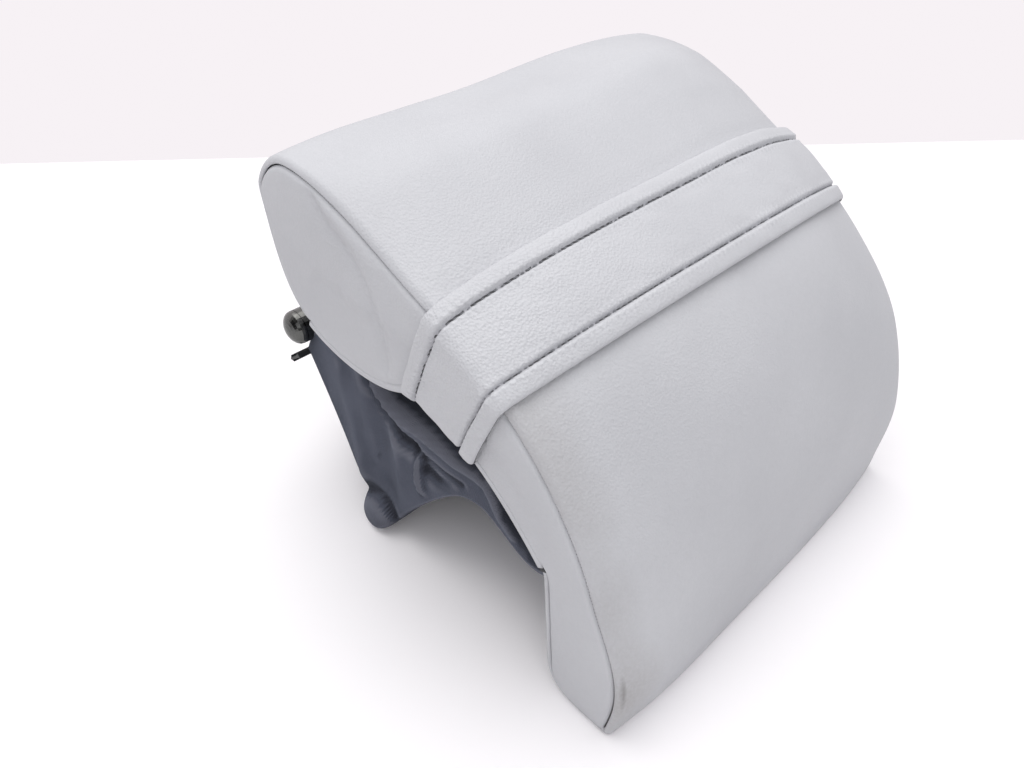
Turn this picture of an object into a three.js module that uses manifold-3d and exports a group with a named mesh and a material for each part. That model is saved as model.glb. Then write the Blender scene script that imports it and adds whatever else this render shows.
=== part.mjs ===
// A car headrest: a leather-covered pad that tilts on a chromed cross rod, on a small steel base
// frame inside a fabric skirt. Millimetres, +Z up. X runs across the headrest, the front faces -Y,
// and the headrest stands on its front lip and on the skirt's lower tube.
//
// The side view is drawn in (a, z): a is the distance behind the front lip, z the height.

import * as THREE from 'three';
import { mergeVertices } from 'three/addons/utils/BufferGeometryUtils.js';
import Module from 'manifold-3d';

const wasm = await Module();
wasm.setup();

// Driving dimensions of the pad
const PAD_WIDTH = 244;
const PAD_DEPTH = 227;
const PAD_HEIGHT = 203;
const BLOCK_HEIGHT = 90;        // rear block, from its underside to the top
const LEAF_THICKNESS = 40;      // front leaf, front face to inner face
const LEAF_LENGTH = 77;         // height of the fold where the leaf meets the arch
const LEAF_TAPER = 2;           // the leaf is thicker at the fold and thinner at its foot
const HEEL_RISE = 13;           // the underside's high and low points, above its own level
const APEX_RISE = 11;
const UNDER_SAG = 7;
const ARCH_FULLNESS = 15;
const LIP_ROUND = 22;           // rounded rear corner of the lip
const LIP_FLAT = 16;            // flat stretch that stands on the table
const CROWN_LIP = 6;            // how far the middle of the pad stands out beyond its sides
const CROWN_STRAP = 16;
const CROWN_TOP = 19;
const CROWN_NOSE = 6;
const CROWN_FULLNESS = 3;
const LEATHER = 2;
const CARRIER_WALL = 3;
const STRAP_WIDTH = 49;
const STRAP_THICKNESS = 3;
const STRAP_TUCK = 12;
const STRAP_RAKE = 24;          // degrees that the strap's sides lean back
const TOP_PANEL_TUCK = 9;
const GAP = 0.3;                // between pieces that touch

// Sides of round pieces
const FINE_ROUND = 36;
const ROUND = 28;
const SMALL_ROUND = 20;
const DOME_STEPS = 6;
const WIRE_SIDES = 8;
const TURN_STEPS = 14;
const MERGE = 1;                // how far joined and cutting shapes run into each other

// Driving dimensions of the base frame
const ROD_RADIUS = 9.3;
const ROD_BORE = 7.3;
const ROD_END_INSET = 10;       // rod end inside the pad's side
const ROD_DROP = 27.5;           // rod centre below the heel of the pad
const ROD_SETBACK = 24.5;        // rod centre behind the heel of the pad
const ROD_DOME = 6;
const ROD_CAP_RIM = 1;
const ROD_PLUG = 10;
const TUBE_RADIUS = 7.5;
const TUBE_BORE = 6;
const TUBE_END_INSET = 5;
const TUBE_FORWARD = 65.5;       // tube axis ahead of the rod axis
const CHEEK_INSET = 23;         // outer face of each cheek plate inside the pad's side
const CHEEK_PLATE = 3;
const CHEEK_FLANGE = 20;
const CHEEK_NOSE_FORWARD = 63;  // stop buffer ahead of the rod axis
const CHEEK_NOSE_RADIUS = 6;
const EYE_WALL = 3.2;
const STOP_TAB = 14;
const BUFFER_RADIUS = 5;
const BUFFER_HEAD = 4.5;
const BUFFER_STEM = 2.2;
const BUFFER_BARB = 3;
const BUFFER_BARB_RIM = 1.2;
const BUFFER_CHAMFER = 1;
const BRACKET_PLATE = 3;
const BRACKET_RAISED_HALF = 56; // half the width of the raised mounting face
const BRACKET_RAISE = 5.5;
const BRACKET_SLOPE = 6;
const BRACKET_BEND = 1;         // the outer line of each bend beyond the inner one
const BRACKET_START = 14;       // how far the bracket stays from the tube's axis
const MOUNT_HOLE = 4.25;
const MOUNT_HOLES_X = 40;
const MOUNT_HOLES_K = 22;
const RIVET_SHANK = 2.4;
const RIVET_HEAD = 4;
const RIVET_HEAD_HEIGHT = 0.7;
const RIVET_HEAD_CHAMFER = 0.5;
const RIVET_TAIL = 3.4;
const RIVET_TAIL_HEIGHT = 1.8;
const RIVET_CHAMFER = 1;
const RIVET_SPREAD = 26;
const EAR_INSET = 13;           // outer face of each carrier ear inside the cheek plate
const EAR_PLATE = 7;
const EAR_REACH = 17;           // length of the ear's root along the carrier
const EAR_ROOT = 1;
const EAR_SETBACK = 9;          // from the carrier's rear edge to the ear's root
const BUSH_WALL = 1.6;
const BUSH_FLANGE = 2.4;
const BUSH_COLLAR = 2;
const RING_WIDTH = 2.2;
const RING_WALL = 3;
const SPRING_WIRE = 2.4;
const SPRING_TURNS = 4;
const SKIRT = 1.5;
const SKIRT_INSET = 2.7;        // outer face of each side panel inside the pad's side
const SKIRT_TOP_ROOM = 2;       // between the strap's tucked end and the skirt's top edge
const ARCH_A = 84;              // top of the arch in the skirt's hem
const ARCH_DROP = 29;           // arch top below the pad's underside
const HEM_END = 10;             // skirt's front end behind the leaf
const HEM_HANDLE = 12;          // reach of the hem line's curve handles
const HEM_DIP = 4;
const HEM_REAR_RISE = 30;
const HEM_FRONT_STEPS = 6;
const HEM_REAR_STEPS = 8;
const WRAP_START = 200;         // degrees round the tube where the wrapped fabric begins
const WRAP_STEPS = 7;
const PROFILE_STEM = 12;
const PROFILE_PLATE = 1.5;
const PROFILE_HEAD = 4;
const PROFILE_FOOT = 3;
const PROFILE_BARB = 2;
const PROFILE_TIP = 1;
const PROFILE_END_INSET = 6;

const halfWidth = PAD_WIDTH / 2;
const rodHalf = halfWidth - ROD_END_INSET;
const tubeHalf = halfWidth - TUBE_END_INSET;
const cheekX = halfWidth - CHEEK_INSET;
const earX = cheekX - EAR_INSET;
const skirtX = halfWidth - SKIRT_INSET;
const profileHalf = halfWidth - PROFILE_END_INSET;
const underside = PAD_HEIGHT - BLOCK_HEIGHT;
const toRadians = Math.PI / 180;

// Materials
const leather = () => new THREE.MeshStandardMaterial({ color: 0xcfd1d6, roughness: 0.62, metalness: 0 });
const foam = () => new THREE.MeshStandardMaterial({ color: 0xd9cfa8, roughness: 0.95, metalness: 0 });
const fabric = () => new THREE.MeshStandardMaterial({ color: 0x474f5e, roughness: 0.95, metalness: 0 });
const chrome = () => new THREE.MeshStandardMaterial({ color: 0xc8cacc, roughness: 0.12, metalness: 1 });
const steel = () => new THREE.MeshStandardMaterial({ color: 0x8d9094, roughness: 0.4, metalness: 0.9 });
const darkPlastic = () => new THREE.MeshStandardMaterial({ color: 0x2b2c2f, roughness: 0.55, metalness: 0 });
const rubber = () => new THREE.MeshStandardMaterial({ color: 0x1c1c1d, roughness: 0.85, metalness: 0 });

const headrest = new THREE.Group();
const addPiece = (name, geometry, material) => {
  const mesh = new THREE.Mesh(geometry, material);
  mesh.name = name;
  headrest.add(mesh);
};

// Geometry helpers
const v2 = (a, z) => new THREE.Vector2(a, z);
const smooth = (t) => {
  const c = Math.min(Math.max(t, 0), 1);
  return c * c * (3 - 2 * c);
};

// A geometry whose triangles face outwards and share their corner points.
function closed(geometry) {
  geometry.deleteAttribute('normal');
  geometry.deleteAttribute('uv');
  const merged = mergeVertices(geometry, 1e-4);
  const p = merged.attributes.position;
  const index = merged.index.array;
  const [u, v, w] = [new THREE.Vector3(), new THREE.Vector3(), new THREE.Vector3()];
  let volume = 0;
  for (let i = 0; i < index.length; i += 3) {
    u.fromBufferAttribute(p, index[i]);
    v.fromBufferAttribute(p, index[i + 1]);
    w.fromBufferAttribute(p, index[i + 2]);
    volume += u.dot(v.cross(w));
  }
  if (volume < 0) {
    for (let i = 0; i < index.length; i += 3) {
      [index[i], index[i + 1]] = [index[i + 1], index[i]];
    }
  }
  merged.computeVertexNormals();
  return merged;
}

function solid(geometry) {
  const g = closed(geometry);
  return new wasm.Manifold(new wasm.Mesh({
    numProp: 3,
    vertProperties: new Float32Array(g.attributes.position.array),
    triVerts: new Uint32Array(g.index.array),
  }));
}

function geometryOf(manifold) {
  const mesh = manifold.getMesh();
  const geometry = new THREE.BufferGeometry();
  geometry.setAttribute('position', new THREE.BufferAttribute(new Float32Array(mesh.vertProperties), 3));
  geometry.setIndex(new THREE.BufferAttribute(new Uint32Array(mesh.triVerts), 1));
  return closed(geometry);
}

const join = (pieces) => pieces.reduce((whole, piece) => whole.add(piece));
const cut = (whole, pieces) => pieces.reduce((left, piece) => left.subtract(piece), whole);

// A side-view outline made into a plate that runs from x0 to x1.
function plateAlongX(points, x0, x1) {
  const g = new THREE.ExtrudeGeometry(new THREE.Shape(points), { depth: x1 - x0, bevelEnabled: false });
  const toSideView = new THREE.Matrix4().makeBasis(
    new THREE.Vector3(0, 1, 0),
    new THREE.Vector3(0, 0, 1),
    new THREE.Vector3(1, 0, 0),
  );
  g.applyMatrix4(toSideView);
  g.translate(x0, 0, 0);
  return g;
}

// A turned piece about a line along X through the side-view point c; the profile holds (radius, x).
function turnedAlongX(profile, c, segments = ROUND) {
  const g = new THREE.LatheGeometry(profile, segments);
  g.rotateZ(-Math.PI / 2);
  g.translate(0, c.x, c.y);
  return g;
}

const drillAlongX = (c, radius, x0, x1) => solid(
  turnedAlongX([v2(0, x0), v2(radius, x0), v2(radius, x1), v2(0, x1)], c),
);

// The triangles that fill a flat ring, wound the way the ring is.
function fill(ring) {
  const faces = THREE.ShapeUtils.triangulateShape(ring, []);
  const [i, j, k] = faces[0];
  const turn = ring[j].clone().sub(ring[i]).cross(ring[k].clone().sub(ring[i]));
  const sameWay = Math.sign(turn) === Math.sign(THREE.ShapeUtils.area(ring));
  return sameWay ? faces : faces.map(([a, b, c]) => [a, c, b]);
}

// A solid through a row of rings of equal length; the two end rings are closed off.
function loft(rings, capFaces) {
  const count = rings[0].length;
  const index = [];
  for (let r = 0; r + 1 < rings.length; r += 1) {
    for (let i = 0; i < count; i += 1) {
      const j = (i + 1) % count;
      const [p, q] = [r * count + i, r * count + j];
      index.push(p, q, p + count, q, q + count, p + count);
    }
  }
  const last = (rings.length - 1) * count;
  for (const [i, j, k] of capFaces) {
    index.push(i, k, j);
    index.push(last + i, last + j, last + k);
  }
  const g = new THREE.BufferGeometry();
  g.setAttribute('position', new THREE.Float32BufferAttribute(rings.flat().flatMap((p) => p.toArray()), 3));
  g.setIndex(index);
  return g;
}

function disc(c, radius, sides = SMALL_ROUND) {
  return Array.from({ length: sides }, (_, i) => {
    const t = (2 * Math.PI * i) / sides;
    return v2(c.x + radius * Math.cos(t), c.y + radius * Math.sin(t));
  });
}

// The convex outline round some points, counter-clockwise.
function hull(points) {
  const sorted = [...points].sort((p, q) => p.x - q.x || p.y - q.y);
  const half = (list) => {
    const chain = [];
    for (const p of list) {
      while (chain.length > 1) {
        const [o, q] = chain.slice(-2);
        if ((q.x - o.x) * (p.y - o.y) - (q.y - o.y) * (p.x - o.x) > 1e-9) break;
        chain.pop();
      }
      chain.push(p);
    }
    return chain.slice(0, -1);
  };
  return [...half(sorted), ...half(sorted.reverse())];
}

// The pad's side outline, clockwise from the lip: front face, top, nose, rear, underside, arch, leaf.
const at = (depthShare, heightShare) => v2(PAD_DEPTH * depthShare, PAD_HEIGHT * heightShare);
const lip = v2(0, 0);
const shoulder = at(0.463, 0.863);
const crest = at(0.868, 1);
const nose = at(1, 0.901);
const heel = v2(PAD_DEPTH * 0.921, underside + HEEL_RISE);
const apex = v2(PAD_DEPTH * 0.546, underside + APEX_RISE);
const fold = v2(LEAF_THICKNESS + LEAF_TAPER, LEAF_LENGTH);
const leafFoot = v2(LEAF_THICKNESS - LEAF_TAPER, LIP_ROUND);
const lipRear = v2(LIP_FLAT, 0);
const lipCorner = v2(leafFoot.x, 0);
const aboveUnderside = (depthShare, rise) => v2(PAD_DEPTH * depthShare, underside + rise);

// Each stretch has its corner and handle points and its number of steps.
const stretches = [
  ['front', [lip, at(-0.018, 0.43), at(0.16, 0.746), shoulder], 10],
  ['top', [shoulder, at(0.595, 0.913), at(0.727, 1), crest], 7],
  ['nose', [crest, at(0.93, 1), at(0.978, 0.951), nose], 5],
  ['rear', [nose, at(0.987, 0.813), aboveUnderside(0.987, 2 * HEEL_RISE), heel], 5],
  ['under', [heel, aboveUnderside(0.859, 0), aboveUnderside(0.66, -UNDER_SAG), apex], 7],
  ['arch', [apex, aboveUnderside(0.458, ARCH_FULLNESS), aboveUnderside(0.317, 0), fold], 7],
  ['leaf', [fold, leafFoot], 2],
  ['corner', [leafFoot, lipCorner, lipRear], 4],
  ['sole', [lipRear, lip], 1],
];
const curveThrough = (points) => {
  if (points.length === 2) return new THREE.LineCurve(...points);
  if (points.length === 3) return new THREE.QuadraticBezierCurve(...points);
  return new THREE.CubicBezierCurve(...points);
};

const outline = [];
const startOf = {};
for (const [name, points, steps] of stretches) {
  startOf[name] = outline.length;
  const curve = curveThrough(points);
  outline.push(...curve.getPoints(steps).slice(0, -1).map((p) => ({ a: p.x, z: p.y })));
}
const rightOf = (p, q) => {
  const length = Math.hypot(q.a - p.a, q.z - p.z);
  return [-(q.z - p.z) / length, (q.a - p.a) / length];
};
let travelled = 0;
outline.forEach((p, i) => {
  const before = outline[(i + outline.length - 1) % outline.length];
  const after = outline[(i + 1) % outline.length];
  const [ba, bz] = rightOf(before, p);
  const [aa, az] = rightOf(p, after);
  const scale = 1 / Math.max(1 + ba * aa + bz * az, 0.5);
  p.out = [(ba + aa) * scale, (bz + az) * scale];
  if (i > 0) travelled += Math.hypot(p.a - before.a, p.z - before.z);
  p.s = travelled;
});
const perimeter = travelled + Math.hypot(outline.at(-1).a, outline.at(-1).z);
const sOf = (name) => outline[startOf[name]].s;
const strapRear = sOf('top');
const strapFront = strapRear - STRAP_WIDTH;
const strapMiddle = (strapRear + strapFront) / 2;

// The crown's height at some distances along the outline; it runs smoothly between them.
const crownSteps = [
  [0, CROWN_LIP],
  [strapMiddle, CROWN_STRAP],
  [(sOf('top') + sOf('nose')) / 2, CROWN_TOP],
  [sOf('nose'), CROWN_NOSE],
  [sOf('under'), 0],
];

// How far the surface at the middle of the pad stands out beyond its sides, as a side-view vector.
function crownOf(p) {
  if (p.s >= sOf('sole')) return [-CROWN_LIP * (1 - p.a / LIP_FLAT), 0];
  if (p.s <= 0) return [-CROWN_LIP, 0];
  if (p.s >= sOf('under')) return [0, 0];
  const next = crownSteps.findIndex(([s]) => s > p.s);
  const [[s0, crown0], [s1, crown1]] = [crownSteps[next - 1], crownSteps[next]];
  const amount = crown0 + (crown1 - crown0) * smooth((p.s - s0) / (s1 - s0));
  return [p.out[0] * amount, p.out[1] * amount];
}
outline.forEach((p) => {
  p.crown = crownOf(p);
});

const bow = (x) => 1 - Math.min(Math.abs(x) / halfWidth, 1) ** CROWN_FULLNESS;

// The outline's point at the distance s from the lip.
function sampleAt(s) {
  const next = outline.findIndex((p) => p.s > s);
  const q = next < 0 ? { ...outline[0], s: perimeter } : outline[next];
  const p = next < 0 ? outline.at(-1) : outline[next - 1];
  const t = (s - p.s) / (q.s - p.s);
  const mix = (m, n) => m + (n - m) * t;
  return {
    s,
    a: mix(p.a, q.a),
    z: mix(p.z, q.z),
    out: [mix(p.out[0], q.out[0]), mix(p.out[1], q.out[1])],
    crown: [mix(p.crown[0], q.crown[0]), mix(p.crown[1], q.crown[1])],
  };
}
const stretch = (s0, s1) => [
  sampleAt(s0),
  ...outline.filter((p) => p.s > s0 + 0.5 && p.s < s1 - 0.5),
  sampleAt(s1),
];

// A point of the pad's surface at x, raised above it by lift.
const surface = (p, x, lift = 0) => new THREE.Vector3(
  x,
  p.a + p.out[0] * lift + p.crown[0] * bow(x),
  p.z + p.out[1] * lift + p.crown[1] * bow(x),
);

function stations(half) {
  const shares = [-1, -0.93, -0.8, -0.6, -0.32, 0, 0.32, 0.6, 0.8, 0.93, 1];
  return shares.map((share) => share * half);
}

// A layer of the pad, between two depths under its surface, from s0 to s1.
function layer(s0, s1, depth0, depth1, half) {
  const samples = stretch(s0, s1);
  const ringAt = (x) => [
    ...samples.map((p) => surface(p, x, -depth0)),
    ...[...samples].reverse().map((p) => surface(p, x, -depth1)),
  ];
  const rings = stations(half).map(ringAt);
  return loft(rings, fill(rings[0].map((p) => v2(p.y, p.z))));
}

const carrierFrom = sOf('under') + TOP_PANEL_TUCK + GAP;
const carrierTo = sOf('leaf') - GAP;

// Leather cover
function leatherPanels() {
  const toTuck = carrierFrom - GAP;
  addPiece('leather_front_panel', closed(layer(0, strapMiddle - GAP / 2, 0, LEATHER, halfWidth)), leather());
  addPiece('leather_top_panel', closed(layer(strapMiddle + GAP / 2, toTuck, 0, LEATHER, halfWidth)), leather());
  const inner = layer(sOf('leaf') + GAP, perimeter - LEATHER - GAP, 0, LEATHER, halfWidth);
  addPiece('leather_inner_panel', closed(inner), leather());
}

const inset = (depth) => outline.map((p) => v2(p.a - p.out[0] * depth, p.z - p.out[1] * depth));

function gussets() {
  const points = inset(Math.max(LEATHER, CARRIER_WALL) + GAP);
  const right = plateAlongX(points, halfWidth - LEATHER, halfWidth);
  const left = plateAlongX(points, -halfWidth, -halfWidth + LEATHER);
  addPiece('leather_gusset_left', closed(left), leather());
  addPiece('leather_gusset_right', closed(right), leather());
}

function foamCore() {
  const depth = Math.max(LEATHER, CARRIER_WALL) + GAP;
  const rings = stations(halfWidth - LEATHER - GAP).map((x) => outline.map((p) => surface(p, x, -depth)));
  addPiece('foam_core', closed(loft(rings, fill(rings[0].map((p) => v2(p.y, p.z))))), foam());
}

// Where a line that leaves the outline's point p in the direction of the strap's sides meets the
// pad's underside.
function strapDrop(p) {
  const [da, dz] = [Math.sin(STRAP_RAKE * toRadians), -Math.cos(STRAP_RAKE * toRadians)];
  const under = stretch(sOf('under'), sOf('leaf'));
  for (let i = 0; i + 1 < under.length; i += 1) {
    const [m, n] = [under[i], under[i + 1]];
    const [ea, ez] = [n.a - m.a, n.z - m.z];
    const cross = da * ez - dz * ea;
    const length = ((m.a - p.a) * ez - (m.z - p.z) * ea) / cross;
    const share = ((m.a - p.a) * dz - (m.z - p.z) * da) / cross;
    if (length > 0 && share >= 0 && share <= 1) return { da, dz, length };
  }
  throw new Error('the strap does not reach the underside');
}

// The strap runs over the pad, down both gussets and a little way under it.
function strapBand() {
  const threads = stretch(strapFront, strapRear).map((p) => ({ p, drop: strapDrop(p) }));
  const onSide = ({ p, drop }, x, distance) => new THREE.Vector3(
    x,
    p.a + drop.da * distance,
    p.z + drop.dz * distance,
  );
  const side = (sign, tuck, lift) => ({ p, drop }) => {
    const x = sign * (halfWidth + lift);
    const below = drop.length + lift;
    return [
      onSide({ p, drop }, sign * (halfWidth - tuck), below),
      onSide({ p, drop }, x - sign * lift * 0.5, below),
      onSide({ p, drop }, x, below - lift * 0.5),
      onSide({ p, drop }, x, -lift * 0.3),
      surface(p, x - sign * lift * 0.5, lift * 0.9),
    ];
  };
  const line = (thread, lift) => {
    const left = side(-1, STRAP_TUCK, lift)(thread);
    const right = side(1, STRAP_TUCK, lift)(thread).reverse();
    const across = stations(halfWidth - STRAP_THICKNESS).map((x) => surface(thread.p, x, lift));
    return [...left, ...across, ...right];
  };
  const lines = [
    ...threads.map((thread) => line(thread, GAP)),
    ...[...threads].reverse().map((thread) => line(thread, GAP + STRAP_THICKNESS)),
  ];
  const rings = lines[0].map((_, i) => lines.map((l) => l[i]));
  addPiece('leather_strap', closed(loft(rings, fill(rings[0].map((p) => v2(p.y, p.z))))), leather());
}

// Base frame: the rod and the lower tube, with the axis k running from the tube to the rod and the
// axis n pointing out of the back.
const rod = v2(heel.x + ROD_SETBACK, heel.y - ROD_DROP);
const wrap = TUBE_RADIUS + GAP + SKIRT;
const tube = v2(rod.x - TUBE_FORWARD, wrap);
const span = rod.clone().sub(tube).length();
const along = rod.clone().sub(tube).normalize();
const back = v2(along.y, -along.x);
const framePoint = (k, n) => v2(
  tube.x + along.x * k + back.x * n,
  tube.y + along.y * k + back.y * n,
);

function rodAndTube() {
  const ring = (outer, bore, x0, x1, c, segments) => turnedAlongX(
    [v2(bore, x0), v2(outer, x0), v2(outer, x1), v2(bore, x1), v2(bore, x0)],
    c,
    segments,
  );
  const rodTube = ring(ROD_RADIUS, ROD_BORE, -rodHalf, rodHalf, rod, FINE_ROUND);
  addPiece('pivot_rod', closed(rodTube), chrome());
  addPiece('lower_cross_tube', closed(ring(TUBE_RADIUS, TUBE_BORE, -tubeHalf, tubeHalf, tube)), steel());
  const plug = ROD_BORE - GAP;
  const rim = rodHalf + GAP;
  const dome = Array.from({ length: DOME_STEPS + 1 }, (_, i) => {
    const t = (Math.PI / 2) * (i / DOME_STEPS);
    return v2(ROD_RADIUS * Math.cos(t), rim + ROD_CAP_RIM + ROD_DOME * Math.sin(t));
  });
  dome[DOME_STEPS].x = 0;
  const inside = rodHalf - ROD_PLUG;
  const cap = [v2(0, inside), v2(plug, inside), v2(plug, rim), v2(ROD_RADIUS, rim), ...dome];
  const right = turnedAlongX(cap, rod, FINE_ROUND);
  const left = right.clone().scale(-1, 1, 1);
  addPiece('rod_cap_right', closed(right), chrome());
  addPiece('rod_cap_left', closed(left), chrome());
  const ringX = earX - EAR_PLATE - BUSH_FLANGE - GAP * 2;
  const bore = ROD_RADIUS + GAP;
  for (const [name, sign] of [['left', -1], ['right', 1]]) {
    const x0 = sign > 0 ? ringX - RING_WIDTH : -ringX;
    const band = ring(bore + RING_WALL, bore, x0, x0 + RING_WIDTH, rod);
    addPiece(`retaining_ring_${name}`, closed(band), steel());
  }
}

const undersideAt = (a) => {
  const list = stretch(sOf('under'), sOf('leaf'));
  const i = list.findIndex((p) => p.a <= a);
  const [p, q] = [list[i - 1], list[i]];
  return p.z + ((q.z - p.z) * (a - p.a)) / (q.a - p.a);
};
const eyeRadius = ROD_RADIUS + GAP + EYE_WALL;
const noseA = rod.x - CHEEK_NOSE_FORWARD;
const overBuffer = [-1, 0, 1].map((share) => undersideAt(noseA + share * BUFFER_RADIUS));
const bufferTop = Math.min(...overBuffer) - GAP;
const tabTop = bufferTop - BUFFER_HEAD;
const flangeBack = wrap - SKIRT - GAP - RIVET_HEAD_HEIGHT - GAP * 2 - BRACKET_PLATE - GAP;
const hemTop = span - eyeRadius - GAP;
const profileK = hemTop - PROFILE_FOOT / 2;
const bracketEnd = profileK - PROFILE_FOOT / 2 - 3 * GAP;
const bracketMiddle = (BRACKET_START + bracketEnd) / 2;
const rivetK = [bracketMiddle - RIVET_SPREAD, bracketMiddle + RIVET_SPREAD];
const rivetX = cheekX - CHEEK_PLATE - CHEEK_FLANGE / 2;

// A cylinder that points along n, through the frame point (k, x).
function drillAlongBack(radius, k, x, n0, n1) {
  const g = new THREE.CylinderGeometry(radius, radius, n1 - n0, SMALL_ROUND);
  return placeOnBack(g, k, x, (n0 + n1) / 2);
}

// Turns a geometry whose axis is Y so that it points along n, at (k, x, n).
function placeOnBack(g, k, x, n) {
  const c = framePoint(k, n);
  const turn = new THREE.Matrix4().makeBasis(
    new THREE.Vector3(1, 0, 0),
    new THREE.Vector3(0, back.x, back.y),
    new THREE.Vector3(0, along.x, along.y).negate(),
  );
  g.applyMatrix4(turn);
  g.translate(x, c.x, c.y);
  return g;
}

// The cheek plates, each with a rear flange for the bracket and a tab for the stop buffer.
function cheeks() {
  for (const [name, sign] of [['left', -1], ['right', 1]]) {
    const inner = cheekX - CHEEK_PLATE;
    const range = (x0, x1) => (sign > 0 ? [x0, x1] : [-x1, -x0]);
    const noseDisc = v2(noseA, tabTop - CHEEK_NOSE_RADIUS);
    const web = TUBE_RADIUS - GAP;
    const plate = hull([
      ...disc(rod, web),
      ...disc(framePoint(TUBE_RADIUS / 2, 0), web),
      ...disc(noseDisc, CHEEK_NOSE_RADIUS),
    ]);
    const flange = [
      framePoint(BRACKET_START, flangeBack - CHEEK_PLATE),
      framePoint(BRACKET_START, flangeBack),
      framePoint(bracketEnd, flangeBack),
      framePoint(bracketEnd, flangeBack - CHEEK_PLATE),
    ];
    const tab = [
      v2(noseA - CHEEK_NOSE_RADIUS, tabTop - CHEEK_PLATE),
      v2(noseA + CHEEK_NOSE_RADIUS, tabTop - CHEEK_PLATE),
      v2(noseA + CHEEK_NOSE_RADIUS, tabTop),
      v2(noseA - CHEEK_NOSE_RADIUS, tabTop),
    ];
    const body = join([
      solid(plateAlongX(plate, ...range(inner, cheekX))),
      solid(plateAlongX(disc(rod, eyeRadius, FINE_ROUND), ...range(inner, cheekX))),
      solid(plateAlongX(flange, ...range(inner - CHEEK_FLANGE, inner + MERGE))),
      solid(plateAlongX(tab, ...range(inner - STOP_TAB, inner + MERGE))),
    ]);
    const bufferX = sign * (inner - STOP_TAB / 2);
    const stemHoleRadius = BUFFER_STEM + GAP;
    const stemHole = new THREE.CylinderGeometry(stemHoleRadius, stemHoleRadius, CHEEK_PLATE * 4, SMALL_ROUND);
    stemHole.rotateX(Math.PI / 2);
    stemHole.translate(bufferX, noseA, tabTop);
    const holes = [
      drillAlongX(rod, ROD_RADIUS + GAP, ...range(inner - MERGE, cheekX + MERGE)),
      drillAlongX(tube, TUBE_RADIUS + GAP, ...range(inner - MERGE, cheekX + MERGE)),
      solid(stemHole),
      ...rivetK.map((k) => solid(
        drillAlongBack(RIVET_SHANK + GAP, k, sign * rivetX, flangeBack - 2 * CHEEK_PLATE, flangeBack + MERGE),
      )),
    ];
    addPiece(`cheek_plate_${name}`, geometryOf(cut(body, holes)), steel());
    addPiece(`stop_buffer_${name}`, closed(buffer(bufferX)), rubber());
  }
}

// A rubber buffer: a head on the tab, a stem through its hole and a barb under it.
function buffer(x) {
  const below = -CHEEK_PLATE - GAP;
  const g = new THREE.LatheGeometry([
    v2(0, below - BUFFER_BARB),
    v2(BUFFER_STEM, below - BUFFER_BARB),
    v2(BUFFER_STEM + BUFFER_BARB_RIM, below),
    v2(BUFFER_STEM, below),
    v2(BUFFER_STEM, GAP),
    v2(BUFFER_RADIUS, GAP),
    v2(BUFFER_RADIUS, BUFFER_HEAD - BUFFER_CHAMFER),
    v2(BUFFER_RADIUS - BUFFER_CHAMFER, BUFFER_HEAD),
    v2(0, BUFFER_HEAD),
  ], SMALL_ROUND);
  g.rotateX(Math.PI / 2);
  g.translate(x, noseA, tabTop);
  return g;
}

// The mounting bracket is a pressed plate of hat section, riveted to the cheeks' flanges.
const bracketFront = flangeBack + GAP;
const mountFaceN = bracketFront + BRACKET_PLATE + BRACKET_RAISE;
function bracket() {
  const low = bracketFront;
  const edge = cheekX - CHEEK_PLATE - GAP * 2;
  const foot = BRACKET_RAISED_HALF + BRACKET_SLOPE;
  const top = BRACKET_RAISED_HALF;
  const high = low + BRACKET_PLATE;
  const section = [
    v2(-edge, low), v2(-foot, low), v2(-top, low + BRACKET_RAISE),
    v2(top, low + BRACKET_RAISE), v2(foot, low), v2(edge, low),
    v2(edge, high), v2(foot + BRACKET_BEND, high), v2(top + BRACKET_BEND, high + BRACKET_RAISE),
    v2(-top - BRACKET_BEND, high + BRACKET_RAISE), v2(-foot - BRACKET_BEND, high), v2(-edge, high),
  ];
  const length = bracketEnd - BRACKET_START;
  const g = new THREE.ExtrudeGeometry(new THREE.Shape(section), { depth: length, bevelEnabled: false });
  const start = framePoint(BRACKET_START, 0);
  g.applyMatrix4(new THREE.Matrix4().makeBasis(
    new THREE.Vector3(1, 0, 0),
    new THREE.Vector3(0, back.x, back.y),
    new THREE.Vector3(0, along.x, along.y),
  ));
  g.translate(0, start.x, start.y);
  const holes = [];
  for (const x of [-MOUNT_HOLES_X, MOUNT_HOLES_X]) {
    for (const dk of [-MOUNT_HOLES_K, MOUNT_HOLES_K]) {
      holes.push(solid(drillAlongBack(MOUNT_HOLE, bracketMiddle + dk, x, low, mountFaceN + MERGE)));
    }
  }
  for (const x of [-rivetX, rivetX]) {
    for (const k of rivetK) {
      holes.push(solid(drillAlongBack(RIVET_SHANK + GAP, k, x, low - MERGE, high + MERGE)));
    }
  }
  addPiece('mounting_bracket', geometryOf(cut(solid(g), holes)), steel());
}

function rivets() {
  const rear = bracketFront + BRACKET_PLATE + GAP;
  const front = flangeBack - CHEEK_PLATE - GAP;
  let number = 0;
  for (const x of [-rivetX, rivetX]) {
    for (const k of rivetK) {
      number += 1;
      const g = new THREE.LatheGeometry([
        v2(0, front - RIVET_TAIL_HEIGHT),
        v2(RIVET_TAIL - RIVET_CHAMFER, front - RIVET_TAIL_HEIGHT),
        v2(RIVET_TAIL, front - RIVET_TAIL_HEIGHT + RIVET_CHAMFER),
        v2(RIVET_TAIL, front),
        v2(RIVET_SHANK, front),
        v2(RIVET_SHANK, rear),
        v2(RIVET_HEAD, rear),
        v2(RIVET_HEAD - RIVET_HEAD_CHAMFER, rear + RIVET_HEAD_HEIGHT),
        v2(0, rear + RIVET_HEAD_HEIGHT),
      ], SMALL_ROUND);
      addPiece(`bracket_rivet_${number}`, closed(placeOnBack(g, k, x, 0)), steel());
    }
  }
}

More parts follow.
